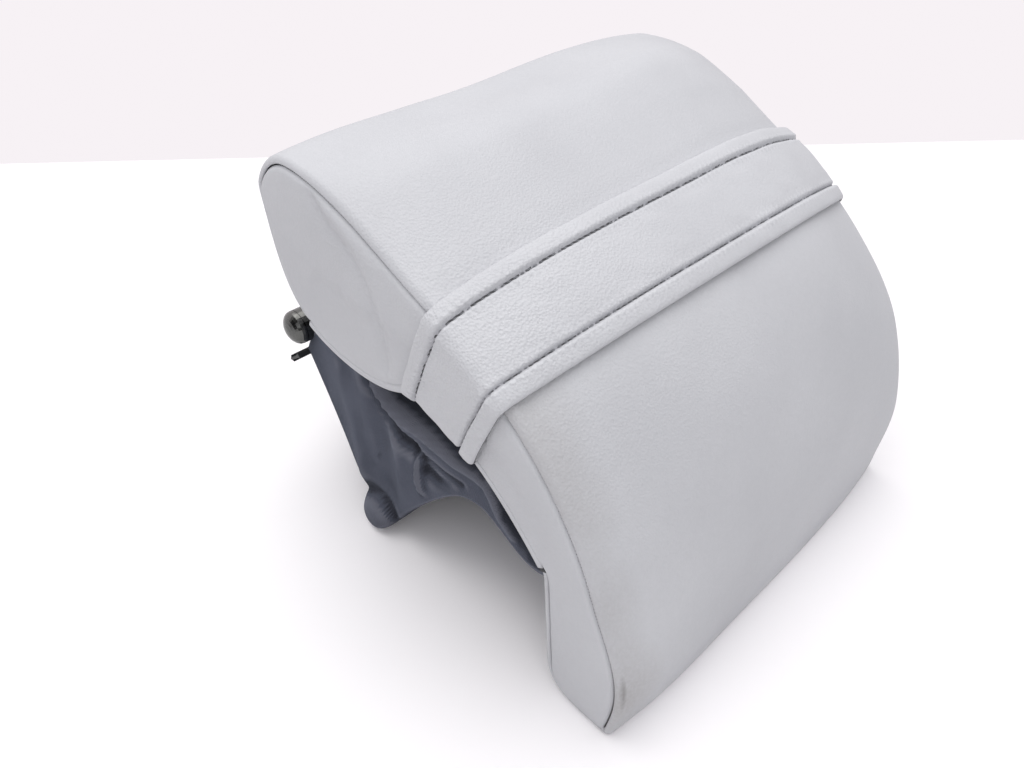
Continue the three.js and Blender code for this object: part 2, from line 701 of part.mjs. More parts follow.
// The carrier closes the pad's underside, and its two ears hold the bushes that turn on the rod.
function carrier() {
  const shell = solid(layer(carrierFrom, carrierTo, 0, CARRIER_WALL, halfWidth));
  const bushOuter = ROD_RADIUS + GAP + BUSH_WALL;
  const roots = [EAR_SETBACK, EAR_SETBACK + EAR_REACH].map((distance) => {
    const p = sampleAt(carrierFrom + distance);
    return v2(p.a - (p.out[0] * CARRIER_WALL) / 2, p.z - (p.out[1] * CARRIER_WALL) / 2);
  });
  const ear = hull([...disc(rod, bushOuter + EYE_WALL), ...roots.flatMap((c) => disc(c, EAR_ROOT))]);
  const ears = [];
  const bores = [];
  for (const x0 of [-earX, earX - EAR_PLATE]) {
    ears.push(solid(plateAlongX(ear, x0, x0 + EAR_PLATE)));
    bores.push(drillAlongX(rod, bushOuter + GAP, x0 - MERGE, x0 + EAR_PLATE + MERGE));
  }
  addPiece('pad_carrier', geometryOf(cut(join([shell, ...ears]), bores)), darkPlastic());
  for (const [name, sign] of [['left', -1], ['right', 1]]) {
    const inner = earX - EAR_PLATE - GAP;
    const bore = ROD_RADIUS + GAP;
    const collar = bushOuter + BUSH_COLLAR;
    const start = inner - BUSH_FLANGE;
    const profile = [
      v2(bore, start), v2(collar, start), v2(collar, inner), v2(bushOuter, inner),
      v2(bushOuter, earX), v2(bore, earX), v2(bore, start),
    ];
    const g = turnedAlongX(profile, rod);
    if (sign < 0) g.scale(-1, 1, 1);
    addPiece(`hinge_bush_${name}`, closed(g), darkPlastic());
  }
}

// A wrap spring grips the rod between each ear and cheek and holds the pad at any angle.
class Helix extends THREE.Curve {
  constructor(radius, x0, x1, turns) {
    super();
    Object.assign(this, { radius, x0, x1, turns });
  }

  getPoint(t, target = new THREE.Vector3()) {
    const angle = 2 * Math.PI * this.turns * t;
    return target.set(
      this.x0 + (this.x1 - this.x0) * t,
      rod.x + this.radius * Math.cos(angle),
      rod.y + this.radius * Math.sin(angle),
    );
  }
}

function springs() {
  const wire = SPRING_WIRE / 2;
  const from = earX + GAP + wire;
  const to = cheekX - CHEEK_PLATE - GAP - wire;
  for (const [name, sign] of [['left', -1], ['right', 1]]) {
    const path = new Helix(ROD_RADIUS + GAP + wire, sign * from, sign * to, turnsThatFit(to - from));
    const circle = new THREE.Shape(disc(v2(0, 0), wire, WIRE_SIDES));
    const steps = Math.round(path.turns * TURN_STEPS);
    const g = new THREE.ExtrudeGeometry(circle, { steps, extrudePath: path, bevelEnabled: false });
    addPiece(`wrap_spring_${name}`, closed(g), steel());
  }
}

// The turns of the spring never touch: they keep a gap along the rod.
function turnsThatFit(length) {
  return Math.min(SPRING_TURNS, Math.floor((length / (SPRING_WIRE + GAP)) * 4) / 4);
}

// Fabric skirt: two side panels, a bottom panel round the lower tube, and two rear panels.
const hemEnd = v2(fold.x + HEM_END, fold.y - HEM_END);
const archTop = v2(ARCH_A, undersideAt(ARCH_A) - ARCH_DROP);
const tubeFront = WRAP_START * toRadians;
const rearTangent = Math.atan2(back.y, back.x);
const onWrap = (angle, radius) => v2(tube.x + radius * Math.cos(angle), tube.y + radius * Math.sin(angle));

// The hem's outer line, from the skirt's front end over the arch to the rear of the lower tube.
function hemLine(depth) {
  const front = new THREE.CubicBezierCurve(
    hemEnd,
    v2(hemEnd.x + HEM_HANDLE, hemEnd.y + HEM_HANDLE),
    v2(archTop.x - HEM_HANDLE, archTop.y + HEM_DIP / 2),
    archTop,
  );
  const end = onWrap(tubeFront, wrap);
  const rear = new THREE.CubicBezierCurve(
    archTop,
    v2(archTop.x + HEM_HANDLE, archTop.y - HEM_DIP),
    v2(end.x - HEM_HANDLE, end.y + HEM_REAR_RISE),
    end,
  );
  const points = [
    ...front.getPoints(HEM_FRONT_STEPS).slice(0, -1),
    ...rear.getPoints(HEM_REAR_STEPS).slice(0, -1),
  ];
  const turn = 2 * Math.PI + rearTangent - tubeFront;
  const line = points.map((p, i) => {
    const q = points[i + 1] ?? end;
    const o = points[i - 1] ?? p;
    const d = q.clone().sub(o).normalize();
    return v2(p.x - d.y * depth, p.y + d.x * depth);
  });
  for (let i = 0; i <= WRAP_STEPS; i += 1) {
    line.push(onWrap(tubeFront + (turn * i) / WRAP_STEPS, wrap - depth));
  }
  return line;
}

function skirt() {
  const bottomInner = hemLine(SKIRT);
  const bottomOuter = hemLine(0);
  const panelHalf = skirtX - SKIRT - GAP;
  const bottom = plateAlongX([...bottomOuter, ...bottomInner.reverse()], -panelHalf, panelHalf);
  addPiece('skirt_bottom_panel', closed(bottom), fabric());

  const topRoom = GAP + STRAP_THICKNESS + SKIRT_TOP_ROOM;
  const top = stretch(carrierFrom, sOf('leaf') - HEM_END / 2).map((p) => v2(
    p.a + p.out[0] * topRoom,
    p.z + p.out[1] * topRoom,
  ));
  const rearTop = framePoint(hemTop, wrap);
  const side = [...bottomOuter, rearTop, ...top];
  addPiece('skirt_side_left', closed(plateAlongX(side, -skirtX, -skirtX + SKIRT)), fabric());
  addPiece('skirt_side_right', closed(plateAlongX(side, skirtX - SKIRT, skirtX)), fabric());

  const rear = [
    framePoint(GAP * 2, wrap - SKIRT),
    framePoint(GAP * 2, wrap),
    framePoint(hemTop, wrap),
    framePoint(hemTop, wrap - SKIRT),
  ];
  const window = BRACKET_RAISED_HALF + BRACKET_SLOPE + BRACKET_BEND;
  addPiece('skirt_rear_left', closed(plateAlongX(rear, -panelHalf, -window)), fabric());
  addPiece('skirt_rear_right', closed(plateAlongX(rear, window, panelHalf)), fabric());
}

// The plastic profile along the rear panels' top hem, where the seat's cover clips on.
function hemProfile() {
  const root = wrap + GAP;
  const tip = root + PROFILE_STEM;
  const barb = tip - PROFILE_BARB;
  const foot = PROFILE_FOOT / 2;
  const head = PROFILE_HEAD / 2;
  const half = PROFILE_PLATE / 2;
  const section = [
    [-foot, root], [foot, root], [foot, root + PROFILE_PLATE], [half, root + PROFILE_PLATE],
    [half, barb], [head, barb], [0, tip + PROFILE_TIP], [-head, barb],
    [-half, barb], [-half, root + PROFILE_PLATE], [-foot, root + PROFILE_PLATE],
  ].map(([dk, n]) => framePoint(profileK + dk, n));
  addPiece('hem_profile', closed(plateAlongX(section, -profileHalf, profileHalf)), darkPlastic());
}

leatherPanels();
gussets();
foamCore();
strapBand();
rodAndTube();
cheeks();
bracket();
rivets();
carrier();
springs();
skirt();
hemProfile();

// The origin lies on the table under the middle of the headrest.
const box = new THREE.Box3().setFromObject(headrest);
headrest.position.y = -(box.min.y + box.max.y) / 2;
headrest.updateMatrixWorld(true);

export default headrest;
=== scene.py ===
# Looks of the car headrest: leather cover, strap and stitching, fabric skirt, and finishes for the
# frame that stays in view. Shapes are worked out in millimetres as (x, a, z): x across the width,
# a back from the front lip and z up from the table. make_mesh places them in metres.
import math
import bmesh
import bpy
import numpy as np
from mathutils import Matrix, Vector
from mathutils.geometry import delaunay_2d_cdt


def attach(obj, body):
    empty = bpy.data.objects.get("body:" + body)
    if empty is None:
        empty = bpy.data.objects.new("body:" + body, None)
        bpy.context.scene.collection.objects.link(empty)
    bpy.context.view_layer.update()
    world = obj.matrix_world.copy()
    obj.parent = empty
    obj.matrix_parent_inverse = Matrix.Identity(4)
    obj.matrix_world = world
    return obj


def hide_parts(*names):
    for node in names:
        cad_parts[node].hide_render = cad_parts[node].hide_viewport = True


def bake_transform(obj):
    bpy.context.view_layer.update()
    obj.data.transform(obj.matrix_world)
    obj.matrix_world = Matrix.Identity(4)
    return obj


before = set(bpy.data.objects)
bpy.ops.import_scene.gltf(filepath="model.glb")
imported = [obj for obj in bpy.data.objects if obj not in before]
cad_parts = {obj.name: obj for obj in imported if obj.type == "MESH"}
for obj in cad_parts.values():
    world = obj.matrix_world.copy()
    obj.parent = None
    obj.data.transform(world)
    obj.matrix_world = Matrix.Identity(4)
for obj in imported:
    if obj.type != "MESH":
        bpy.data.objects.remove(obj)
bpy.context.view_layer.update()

# The pad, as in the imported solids
WIDTH, DEPTH, HEIGHT = 244.0, 227.0, 203.0
HALF = WIDTH / 2
UNDERSIDE = HEIGHT - 90.0
LIP_TO_ORIGIN = 120.7983        # from the front lip back to the frame's origin
CROWN_LIP, CROWN_STRAP, CROWN_TOP, CROWN_NOSE = 6.0, 16.0, 19.0, 6.0
CROWN_FULLNESS = 3.0

# The cover
LEATHER, GUSSET_LEATHER, FABRIC = 2.0, 1.5, 1.4
EDGE_ROLL = 2.7                 # radius of the panels' rolled edge
SEAM_DEPTH = 0.9                # how far the cover dips into the seam
GUSSET_INSET = EDGE_ROLL + 0.9
STRAP_WIDTH = 47.0
STRAP_RAKE = math.radians(24)
STRAP_TO_SHOULDER = 2.0
# Points inside the pad, the leaf and the skirt, in metres
PAD_INSIDE = (0.0, -0.01, 0.13)
LEAF_INSIDE = (0.0, -0.102, 0.03)
SKIRT_INSIDE = (0, 0.01, 0.06)


# Sums that many shapes use
def smooth(t):
    t = np.clip(t, 0, 1)
    return t * t * (3 - 2 * t)


def ramp(value, zero, one):
    """Rises smoothly from 0 at zero to 1 at one, which may be the smaller of the two."""
    return smooth((value - zero) / (one - zero))


def bell(distance, width):
    return np.exp(-(distance / width) ** 2)


def blur_weights(reach, step, spread):
    """Whole steps from -reach to reach, with their shares in a soft blur."""
    steps = np.arange(-reach, reach + 1)
    weights = np.exp(-0.5 * (steps * step / spread) ** 2)
    return list(zip(steps.tolist(), weights / weights.sum()))


def lengths_along(points, axis=0):
    """The distance from the first point to each point of a line, or of each line of a grid."""
    steps = np.linalg.norm(np.diff(points, axis=axis), axis=-1)
    return np.insert(np.cumsum(steps, axis=axis), 0, 0, axis=axis)


def points_at(places, along, values):
    return np.column_stack([np.interp(places, along, column) for column in values.T])


def wander(points, scale, seed):
    """A smooth random height from about -1 to 1 at each point, the same on every run."""
    rng = np.random.default_rng(seed)
    total = np.zeros(len(points))
    for _ in range(7):
        direction = rng.normal(size=3)
        direction /= np.linalg.norm(direction)
        wave = rng.uniform(0.7, 1.5) / scale
        total += np.sin(points @ direction * wave * 2 * math.pi + rng.uniform(0, 2 * math.pi))
    return total / 4


def cross(a, b):
    return a[0] * b[1] - a[1] * b[0]


def distance_to(points, line, closed=False):
    """Distance of each 2-D point from a line of points, and the side of it: 1 left, -1 right."""
    line = np.array(line, float)
    starts = line if closed else line[:-1]
    stops = np.roll(line, -1, axis=0) if closed else line[1:]
    best = np.full(len(points), 1e9)
    side = np.zeros(len(points))
    for start, stop in zip(starts, stops):
        run = stop - start
        square = max(float(run @ run), 1e-9)
        share = np.clip(((points - start) @ run) / square, 0, 1)
        away = points - (start + share[:, None] * run)
        distance = np.hypot(away[:, 0], away[:, 1])
        closer = distance < best
        best = np.where(closer, distance, best)
        side = np.where(closer, np.sign(cross(run, away.T)), side)
    return best, side


def inside_of(points, ring):
    """Whether each point lies inside a closed 2-D ring."""
    inside = np.zeros(len(points), bool)
    for start, stop in zip(ring, np.roll(ring, -1, axis=0)):
        rise = stop[1] - start[1]
        if abs(rise) < 1e-12:
            continue
        crosses = (start[1] > points[:, 1]) != (stop[1] > points[:, 1])
        x = start[0] + (points[:, 1] - start[1]) * (stop[0] - start[0]) / rise
        inside ^= crosses & (points[:, 0] < x)
    return inside


def nearest_to(points, places):
    """The index of the point that is nearest to each place."""
    return [int(np.argmin(np.hypot(*(points - place).T))) for place in places]


# The side outline
def bezier(points, steps):
    t = np.linspace(0, 1, steps, endpoint=False)[:, None]
    order = len(points) - 1
    return sum(math.comb(order, i) * t ** i * (1 - t) ** (order - i) * np.array(point)
               for i, point in enumerate(points))


def at(depth_share, height_share):
    return (DEPTH * depth_share, HEIGHT * height_share)


LIP = (0.0, 0.0)
SHOULDER, CREST, NOSE = at(0.463, 0.863), at(0.868, 1), at(1, 0.901)
HEEL = (DEPTH * 0.921, UNDERSIDE + 13)
APEX = (DEPTH * 0.546, UNDERSIDE + 11)
FOLD = (42.0, 77.0)
LEAF_FOOT = (38.0, 22.0)
LIP_REAR = (16.0, 0.0)
STRETCHES = [
    ("front", [LIP, at(-0.018, 0.43), at(0.16, 0.746), SHOULDER]),
    ("top", [SHOULDER, at(0.595, 0.913), at(0.727, 1), CREST]),
    ("nose", [CREST, at(0.93, 1), at(0.978, 0.951), NOSE]),
    ("rear", [NOSE, at(0.987, 0.813), (DEPTH * 0.987, UNDERSIDE + 26), HEEL]),
    ("under", [HEEL, (DEPTH * 0.859, UNDERSIDE), (DEPTH * 0.66, UNDERSIDE - 7), APEX]),
    ("arch", [APEX, (DEPTH * 0.458, UNDERSIDE + 15), (DEPTH * 0.317, UNDERSIDE), FOLD]),
    ("leaf", [FOLD, LEAF_FOOT]),
    ("corner", [LEAF_FOOT, (38.0, 0.0), LIP_REAR]),
    ("sole", [LIP_REAR, LIP]),
]
CURVE_STEPS = 80
OUTLINE_STEP = 1.5
OUTLINE_BLUR = 2.2
LEVEL_FROM, LEVEL_OVER = 14, 12     # from here down to the lip the crown turns level, over this length


class Outline:
    """The closed side outline at even steps, with its outward normals and crown vectors."""

    def __init__(self):
        curves = [(name, bezier(points, CURVE_STEPS)) for name, points in STRETCHES]
        points = np.vstack([curve for _, curve in curves] + [np.array([LIP])])
        along = lengths_along(points)
        self.total = along[-1]
        self.start = {name: along[i * CURVE_STEPS] for i, (name, _) in enumerate(curves)}
        count = int(self.total / OUTLINE_STEP)
        self.s = np.arange(count) * self.total / count
        even = points_at(self.s, along, points)
        weights = blur_weights(12, OUTLINE_STEP, OUTLINE_BLUR)
        self.p = sum(weight * np.roll(even, -step, axis=0) for step, weight in weights)
        tangent = np.roll(self.p, -1, axis=0) - np.roll(self.p, 1, axis=0)
        tangent /= np.linalg.norm(tangent, axis=1)[:, None]
        self.n = np.column_stack([-tangent[:, 1], tangent[:, 0]])
        self.strap_rear = self.start["top"] - STRAP_TO_SHOULDER
        self.strap_front = self.strap_rear - STRAP_WIDTH
        self.strap_middle = (self.strap_rear + self.strap_front) / 2
        level = smooth((LEVEL_FROM - self.s) / LEVEL_OVER) + (self.s >= self.start["corner"])
        direction = self.n * (1 - level[:, None]) + np.array([[-1.0, 0.0]]) * level[:, None]
        self.crown = direction * self.crown_amount(self.s)[:, None]

    def crown_amount(self, s):
        """How far the cover bulges at mid width, at each distance along the outline."""
        start = self.start
        stops = [(0, CROWN_LIP), (self.strap_middle, CROWN_STRAP),
                 ((start["top"] + start["nose"]) / 2, CROWN_TOP),
                 (start["nose"], CROWN_NOSE), (start["under"], 0), (start["sole"], 0),
                 (self.total, CROWN_LIP)]
        amount = np.zeros(len(s))
        for (s0, crown0), (s1, crown1) in zip(stops, stops[1:]):
            here = (s >= s0) & (s < s1)
            amount[here] = (crown0 + (crown1 - crown0) * smooth((s - s0) / (s1 - s0)))[here]
        return amount

    def sample(self, s):
        """Points, normals and crown vectors at distances along the outline, which may pass its ends."""
        s = np.mod(s, self.total)
        along = np.append(self.s, self.total)
        p, n, crown = (points_at(s, along, np.vstack([values, values[:1]]))
                       for values in (self.p, self.n, self.crown))
        n /= np.linalg.norm(n, axis=1)[:, None]
        return p, n, crown


outline = Outline()


def bow(x):
    """The share of the crown at x across the width."""
    return 1 - np.minimum(np.abs(x) / HALF, 1) ** CROWN_FULLNESS


# Where the stuffing stands fuller than in the solids: heights over places along the depth
FAR_LIFT_AT = [60, 100, 130, 160, 195, 215, 232]
FAR_LIFT = [0, 3.5, 8.5, 9.5, 6.5, 6, 4]
NEAR_LIFT_AT = [75, 105, 150, 200, 225, 235]
NEAR_LIFT = [0, 1.8, 3.3, 3.4, 2.8, 1.5]
LIP_SHIFT = 5.4                 # forwards, at the near end of the lip
BROW_SHIFT = 4.2                # forwards, at the far side of the front


def puff(points):
    """Moves the cover's points to the fuller shape: the top's corners, the lip and the front."""
    points = np.array(points, float).reshape(-1, 3).copy()
    x, a, z = points.T
    far = np.interp(a, FAR_LIFT_AT, FAR_LIFT) * ramp(x, -30, 110)
    near = np.interp(a, NEAR_LIFT_AT, NEAR_LIFT) * ramp(x, -50, -120)
    z += (far + near) * ramp(z, 112, 182)
    lip = ramp(z, 85, 40) * ramp(a, 26, 8)
    a -= LIP_SHIFT * lip * ramp(z, -14, 36) * ramp(x, -20, -110)
    brow = ramp(z, 5, 55) * ramp(z, 150, 100) * ramp(a, 62, 32)
    a -= BROW_SHIFT * brow * ramp(x, 30, 110)
    return points


# Meshes
def add_object(name, data):
    obj = bpy.data.objects.new(name, data)
    bpy.context.scene.collection.objects.link(obj)
    return obj


def make_mesh(name, points_mm, faces):
    points = np.array(points_mm, float).reshape(-1, 3).copy()
    points[:, 1] -= LIP_TO_ORIGIN
    mesh = bpy.data.meshes.new(name)
    mesh.from_pydata((points / 1000).tolist(), [], faces)
    mesh.validate()
    mesh.update()
    mesh.shade_smooth()
    return add_object(name, mesh)


def grid_faces(rows, columns, start=0, flip=False):
    faces = [(first, first + 1, first + columns + 1, first + columns)
             for row_start in range(start, start + (rows - 1) * columns, columns)
             for first in range(row_start, row_start + columns - 1)]
    return [face[::-1] for face in faces] if flip else faces


def thicken(obj, thickness):
    """Gives a surface its thickness, inwards, and bakes it into the mesh."""
    modifier = obj.modifiers.new("thickness", "SOLIDIFY")
    modifier.thickness = thickness / 1000
    modifier.offset = -1.0
    modifier.use_even_offset = False
    modifier.use_rim = True
    graph = bpy.context.evaluated_depsgraph_get()
    mesh = bpy.data.meshes.new_from_object(obj.evaluated_get(graph))
    obj.modifiers.clear()
    obj.data = mesh
    mesh.shade_smooth()
    return obj


def outward(obj, inside):
    """Turns the faces so that they point away from a point inside, in metres."""
    total = sum((p.center - Vector(inside)).dot(p.normal) * p.area for p in obj.data.polygons)
    if total < 0:
        obj.data.flip_normals()


def face_sideways(obj, sign):
    """Makes all faces agree, with the large face pointing out along X."""
    bm = bmesh.new()
    bm.from_mesh(obj.data)
    bmesh.ops.recalc_face_normals(bm, faces=bm.faces)
    if sign * sum(face.normal.x * face.calc_area() for face in bm.faces) < 0:
        bmesh.ops.reverse_faces(bm, faces=bm.faces)
    bm.to_mesh(obj.data)
    bm.free()


def drop_loose_points(obj):
    bm = bmesh.new()
    bm.from_mesh(obj.data)
    bmesh.ops.delete(bm, geom=[vertex for vertex in bm.verts if not vertex.link_faces], context="VERTS")
    bm.to_mesh(obj.data)
    bm.free()


# Leather panels
PANEL_STEP = 2.2
PANEL_MIDDLE_LINES = 62
ROLL_ANGLES = np.radians([90, 78, 66, 54, 42, 30, 18, 8])
VALLEY = [(SEAM_DEPTH + 0.5, 0.9), (0.45, 0.55)]    # in the seam: in from the side, down past the roll
PRESS_DEPTH, PRESS_REACH = 0.9, 7.0                 # how the strap's edges pull the cover in
# Where the panels begin and end along the outline. The front wraps under the lip, past the outline's start.
FRONT_FROM, PANEL_GAP = -5.0, 0.4
LEAF_FROM, LEAF_TO = outline.start["leaf"] - 5.0, outline.total - 4.6


def panel_columns():
    """The places across the width where a panel is sampled: x, and depth under the surface."""
    roll_x = HALF - EDGE_ROLL + EDGE_ROLL * np.sin(ROLL_ANGLES)
    roll_depth = EDGE_ROLL - EDGE_ROLL * np.cos(ROLL_ANGLES)
    edge_x = np.concatenate([[HALF - inset for inset, _ in VALLEY], roll_x])
    edge_depth = np.concatenate([[EDGE_ROLL + down for _, down in VALLEY], roll_depth])
    middle = np.linspace(HALF - EDGE_ROLL, -(HALF - EDGE_ROLL), PANEL_MIDDLE_LINES)
    x = np.concatenate([edge_x, middle, -edge_x[::-1]])
    depth = np.concatenate([edge_depth, 0 * middle, edge_depth[::-1]])
    return x, depth


def press_of_strap(s):
    """The strap pulls the cover in a little along its two edges."""
    edges = (outline.strap_front, outline.strap_rear)
    return sum(PRESS_DEPTH * bell(s - edge, PRESS_REACH) for edge in edges)


def panel(name, s0, s1, ends=(0.0, 0.0), reaches=(2.2, 2.2), inside=PAD_INSIDE):
    """A leather panel over the outline from s0 to s1. Each end dives under by a depth, over a reach."""
    rows = int((s1 - s0) / PANEL_STEP) + 2
    s = np.linspace(s0, s1, rows)
    p, n, crown = outline.sample(s)
    x, depth = panel_columns()
    sink = np.zeros(rows)
    for end, reach, from_end in zip(ends, reaches, (s - s0, s1 - s)):
        sink += end * bell(from_end, reach)
    surface = p[:, None] + crown[:, None] * bow(x)[:, None]
    surface = surface - n[:, None] * (depth + sink[:, None])[:, :, None]
    flat = np.column_stack([np.tile(x, rows), surface.reshape(-1, 2)])
    from_roll = HALF - EDGE_ROLL - np.abs(flat[:, 0])
    height = 0.35 * wander(flat, 75, 3) * smooth(from_roll / 25)
    height -= press_of_strap(np.repeat(s, len(x))) * (from_roll > 0)
    flat[:, 1:] += np.repeat(n, len(x), axis=0) * height[:, None]
    obj = make_mesh(name, puff(flat), grid_faces(rows, len(x)))
    outward(obj, inside)
    return thicken(obj, LEATHER)


# Gussets
GUSSET_STEP = 1.5
RING_OFFSETS = [0.5, 1.0, 1.7, 2.6, 4.0, 6.0]
LATTICE, LATTICE_SHIFT, LATTICE_INSET = 3.2, 0.3, 8.0
# The gusset's edge is bare, with no panel sewn to it, from past the heel to the leaf
BARE_FROM = outline.start["under"] + 9
BARE_TO = outline.start["leaf"] - 1
# The soft crease that runs down the gusset from the upper seam to the strap
CREASE = [(178, 196), (174.7, 190.8), (170, 186), (161.2, 181.5), (152.5, 176), (146, 169),
          (141.5, 162), (138.8, 154.5), (137, 142), (137, 130)]
# The hem, from the gusset's edge round to the pad's underside: x, and depth under the outline
HEM_LEVEL = -0.9
HEM_SECTION = [(HALF + 0.75, 3.6), (HALF + 0.8, 2.2)]
HEM_SECTION += [(HALF - 0.9 + 1.7 * math.cos(angle), 1.0 - 1.9 * math.sin(angle))
                for angle in np.radians([0, 22, 45, 68, 90])]
HEM_SECTION += [(HALF - 3.5, HEM_LEVEL), (HALF - 7.0, HEM_LEVEL)]


def soften_ring(values, times):
    for _ in range(times):
        values = (np.roll(values, 1) + 2 * values + np.roll(values, -1)) / 4
    return values


def fill_outline(p, n, border):
    """Points and triangles inside the border: rings that follow it, then a square lattice."""
    parts = [border]
    for offset in RING_OFFSETS:
        ring = p - n * (GUSSET_INSET + offset)
        away, _ = distance_to(ring, border, closed=True)
        parts.append(ring[(away > offset - 0.15) & inside_of(ring, border)])
    lattice = np.mgrid[0:DEPTH:LATTICE, 0:HEIGHT:LATTICE].reshape(2, -1).T
    lattice[:, 1] += LATTICE_SHIFT
    away, _ = distance_to(lattice, border, closed=True)
    parts.append(lattice[inside_of(lattice, border) & (away > LATTICE_INSET)])
    edges = [(i, (i + 1) % len(border)) for i in range(len(border))]
    points = [Vector(point) for point in np.vstack(parts)]
    verts, _, faces, _, _, _ = delaunay_2d_cdt(points, edges, [], 1, 1e-5)
    return np.array([tuple(vert) for vert in verts]), [list(face) for face in faces]


def gusset_bulge(verts, away, seam, crease_strength):
    """How far the gusset stands out: a dome, the dip into the seam, and the crease."""
    dome = 1.1 * (1 - np.exp(-away / 1.6)) + 1.9 * (1 - np.exp(-away / 20))
    dome = dome * (0.35 + 0.65 * seam) + (1 - seam) * 0.6
    valley = (SEAM_DEPTH + 0.5) * bell(away, 0.9) * seam
    gap, side = distance_to(verts, CREASE)
    across = gap * side
    crease = -1.9 * bell(across, 3.4) + 1.2 * bell(across + 9, 6.5)
    return dome - valley + crease_strength * crease * smooth(away / 5)


def gusset(name, sign, crease_strength):
    """A domed side panel inside the seam, which wraps under the pad where its edge is bare."""
    s = np.arange(0, outline.total, GUSSET_STEP)
    p, n, _ = outline.sample(s)
    border = p - n * GUSSET_INSET
    verts, faces = fill_outline(p, n, border)
    bare = (s > BARE_FROM) & (s < BARE_TO)
    away, _ = distance_to(verts, border, closed=True)
    seam = soften_ring(np.where(bare, 0.0, 1.0), 3)[nearest_to(border, verts)]
    flat = np.column_stack([np.full(len(verts), sign * HALF), verts])
    bulge = gusset_bulge(verts, away, seam, crease_strength)
    bulge += 0.28 * wander(flat, 60, 11 + sign) * smooth(away / 12)
    flat[:, 0] += sign * bulge

    # The hem rolls round the pad's lower edge and runs inwards under the carrier.
    p, n, border = p[bare], n[bare], border[bare]
    taper = smooth((BARE_TO - s[bare]) / 9)[:, None]
    rows = []
    for x, depth in HEM_SECTION:
        level = depth * taper + 0.4 * (1 - taper) if depth < 0 else depth
        rows.append(np.column_stack([np.full(len(p), sign * x), p - n * level]))
    start, columns = len(flat), len(p)
    joint = nearest_to(verts, border)
    faces += [[joint[j], joint[j + 1], start + j + 1, start + j] for j in range(columns - 1)]
    faces += grid_faces(len(rows), columns, start)
    obj = make_mesh(name, puff(np.vstack([flat] + rows)), faces)

    # The faces deep in the seam get seam_shade, a dark copy of the leather: painted shade in the seam's
    # valley.
    for polygon in obj.data.polygons:
        ids = list(polygon.vertices)
        if max(ids) < start and away[ids].mean() < 0.3 and seam[ids].min() > 0.6:
            polygon.material_index = 1
    face_sideways(obj, sign)
    return thicken(obj, GUSSET_LEATHER)


# The strap: its path over the pad, and its height across its width
STRAP_TUCK = 12.0               # how far it runs in under the pad
STRAP_OFF_SIDE = 1.6            # how far it stands off the gusset
STRAP_SEAM = 8.6                # from the stitch line to the strap's edge
STITCH_PITCH = 3.4
STRAP_ROUND = 1.1               # blur that rounds the bends of the path
STRAP_BLUR_REACH = 30
STRAP_COLUMNS = 860
# The lines along the strap, from one edge to its middle
STRAP_LINES = [0, 0.1, 0.3, 0.65, 1.15, 1.8, 2.6, 4.0, 5.4, 6.2, 6.8, 7.2, 7.6, 8.0, 8.3, 8.6, 8.9, 9.2,
               9.6, 10.0, 10.5, 11.1, 12.0, 13.2, 15, 17.5, 20.5, STRAP_WIDTH / 2]
# The turned edge: distance in from the strap's edge and height, which leaves a dark gap under it
EDGE_SECTION = [(1.0, 0.02), (0.45, 0.35), (0.08, 0.95), (0.0, 1.6), (0.3, 2.3), (0.95, 2.85), (1.8, 3.12)]


def under_point(point):
    """Where a line down the gusset from a point on the outline meets the underside."""
    direction = np.array([math.sin(STRAP_RAKE), -math.cos(STRAP_RAKE)])
    underside = (outline.s > outline.start["under"]) & (outline.s < outline.start["leaf"])
    line = outline.p[underside]
    for start, stop in zip(line[:-1], line[1:]):
        run = stop - start
        length = cross(start - point, run) / cross(direction, run)
        share = cross(start - point, direction) / cross(direction, run)
        if length > 0 and -0.01 <= share <= 1.01:
            return point + direction * length
    raise RuntimeError("the strap does not reach the underside")


def strap_path(s):
    """The strap's resting line at the outline distance s, from under one side to under the other."""
    p, _, crown = (values[0] for values in outline.sample(np.array([s])))
    low = under_point(p)
    side_x = HALF + STRAP_OFF_SIDE
    half_line = [
        (HALF - STRAP_TUCK, low[0], low[1] + 1.4),
        (HALF - 3, low[0], low[1] + 1.4),
        (side_x, low[0] - 1.0, low[1] + 2.8),
    ]
    for share in np.linspace(0.92, 0.04, 24):
        half_line.append((side_x + 0.8 * math.sin(math.pi * share), *(p + (low - p) * share)))
    for x in np.linspace(HALF - 0.6, 0, 60):
        half_line.append((x, *(p + crown * bow(x))))
    half_line = np.array(half_line)
    line = np.vstack([half_line, half_line[-2::-1] * (-1, 1, 1)])
    along = lengths_along(line)
    fine = np.linspace(0, along[-1], 900)
    dense = points_at(fine, along, line)
    reach = STRAP_BLUR_REACH
    padded = np.pad(dense, ((reach, reach), (0, 0)), mode="reflect", reflect_type="odd")
    soft = sum(weight * padded[reach + step:reach + step + len(dense)]
               for step, weight in blur_weights(reach, fine[1], STRAP_ROUND))
    pick = np.linspace(0, len(soft) - 1, STRAP_COLUMNS).round().astype(int)
    return soft[pick], along[-1]


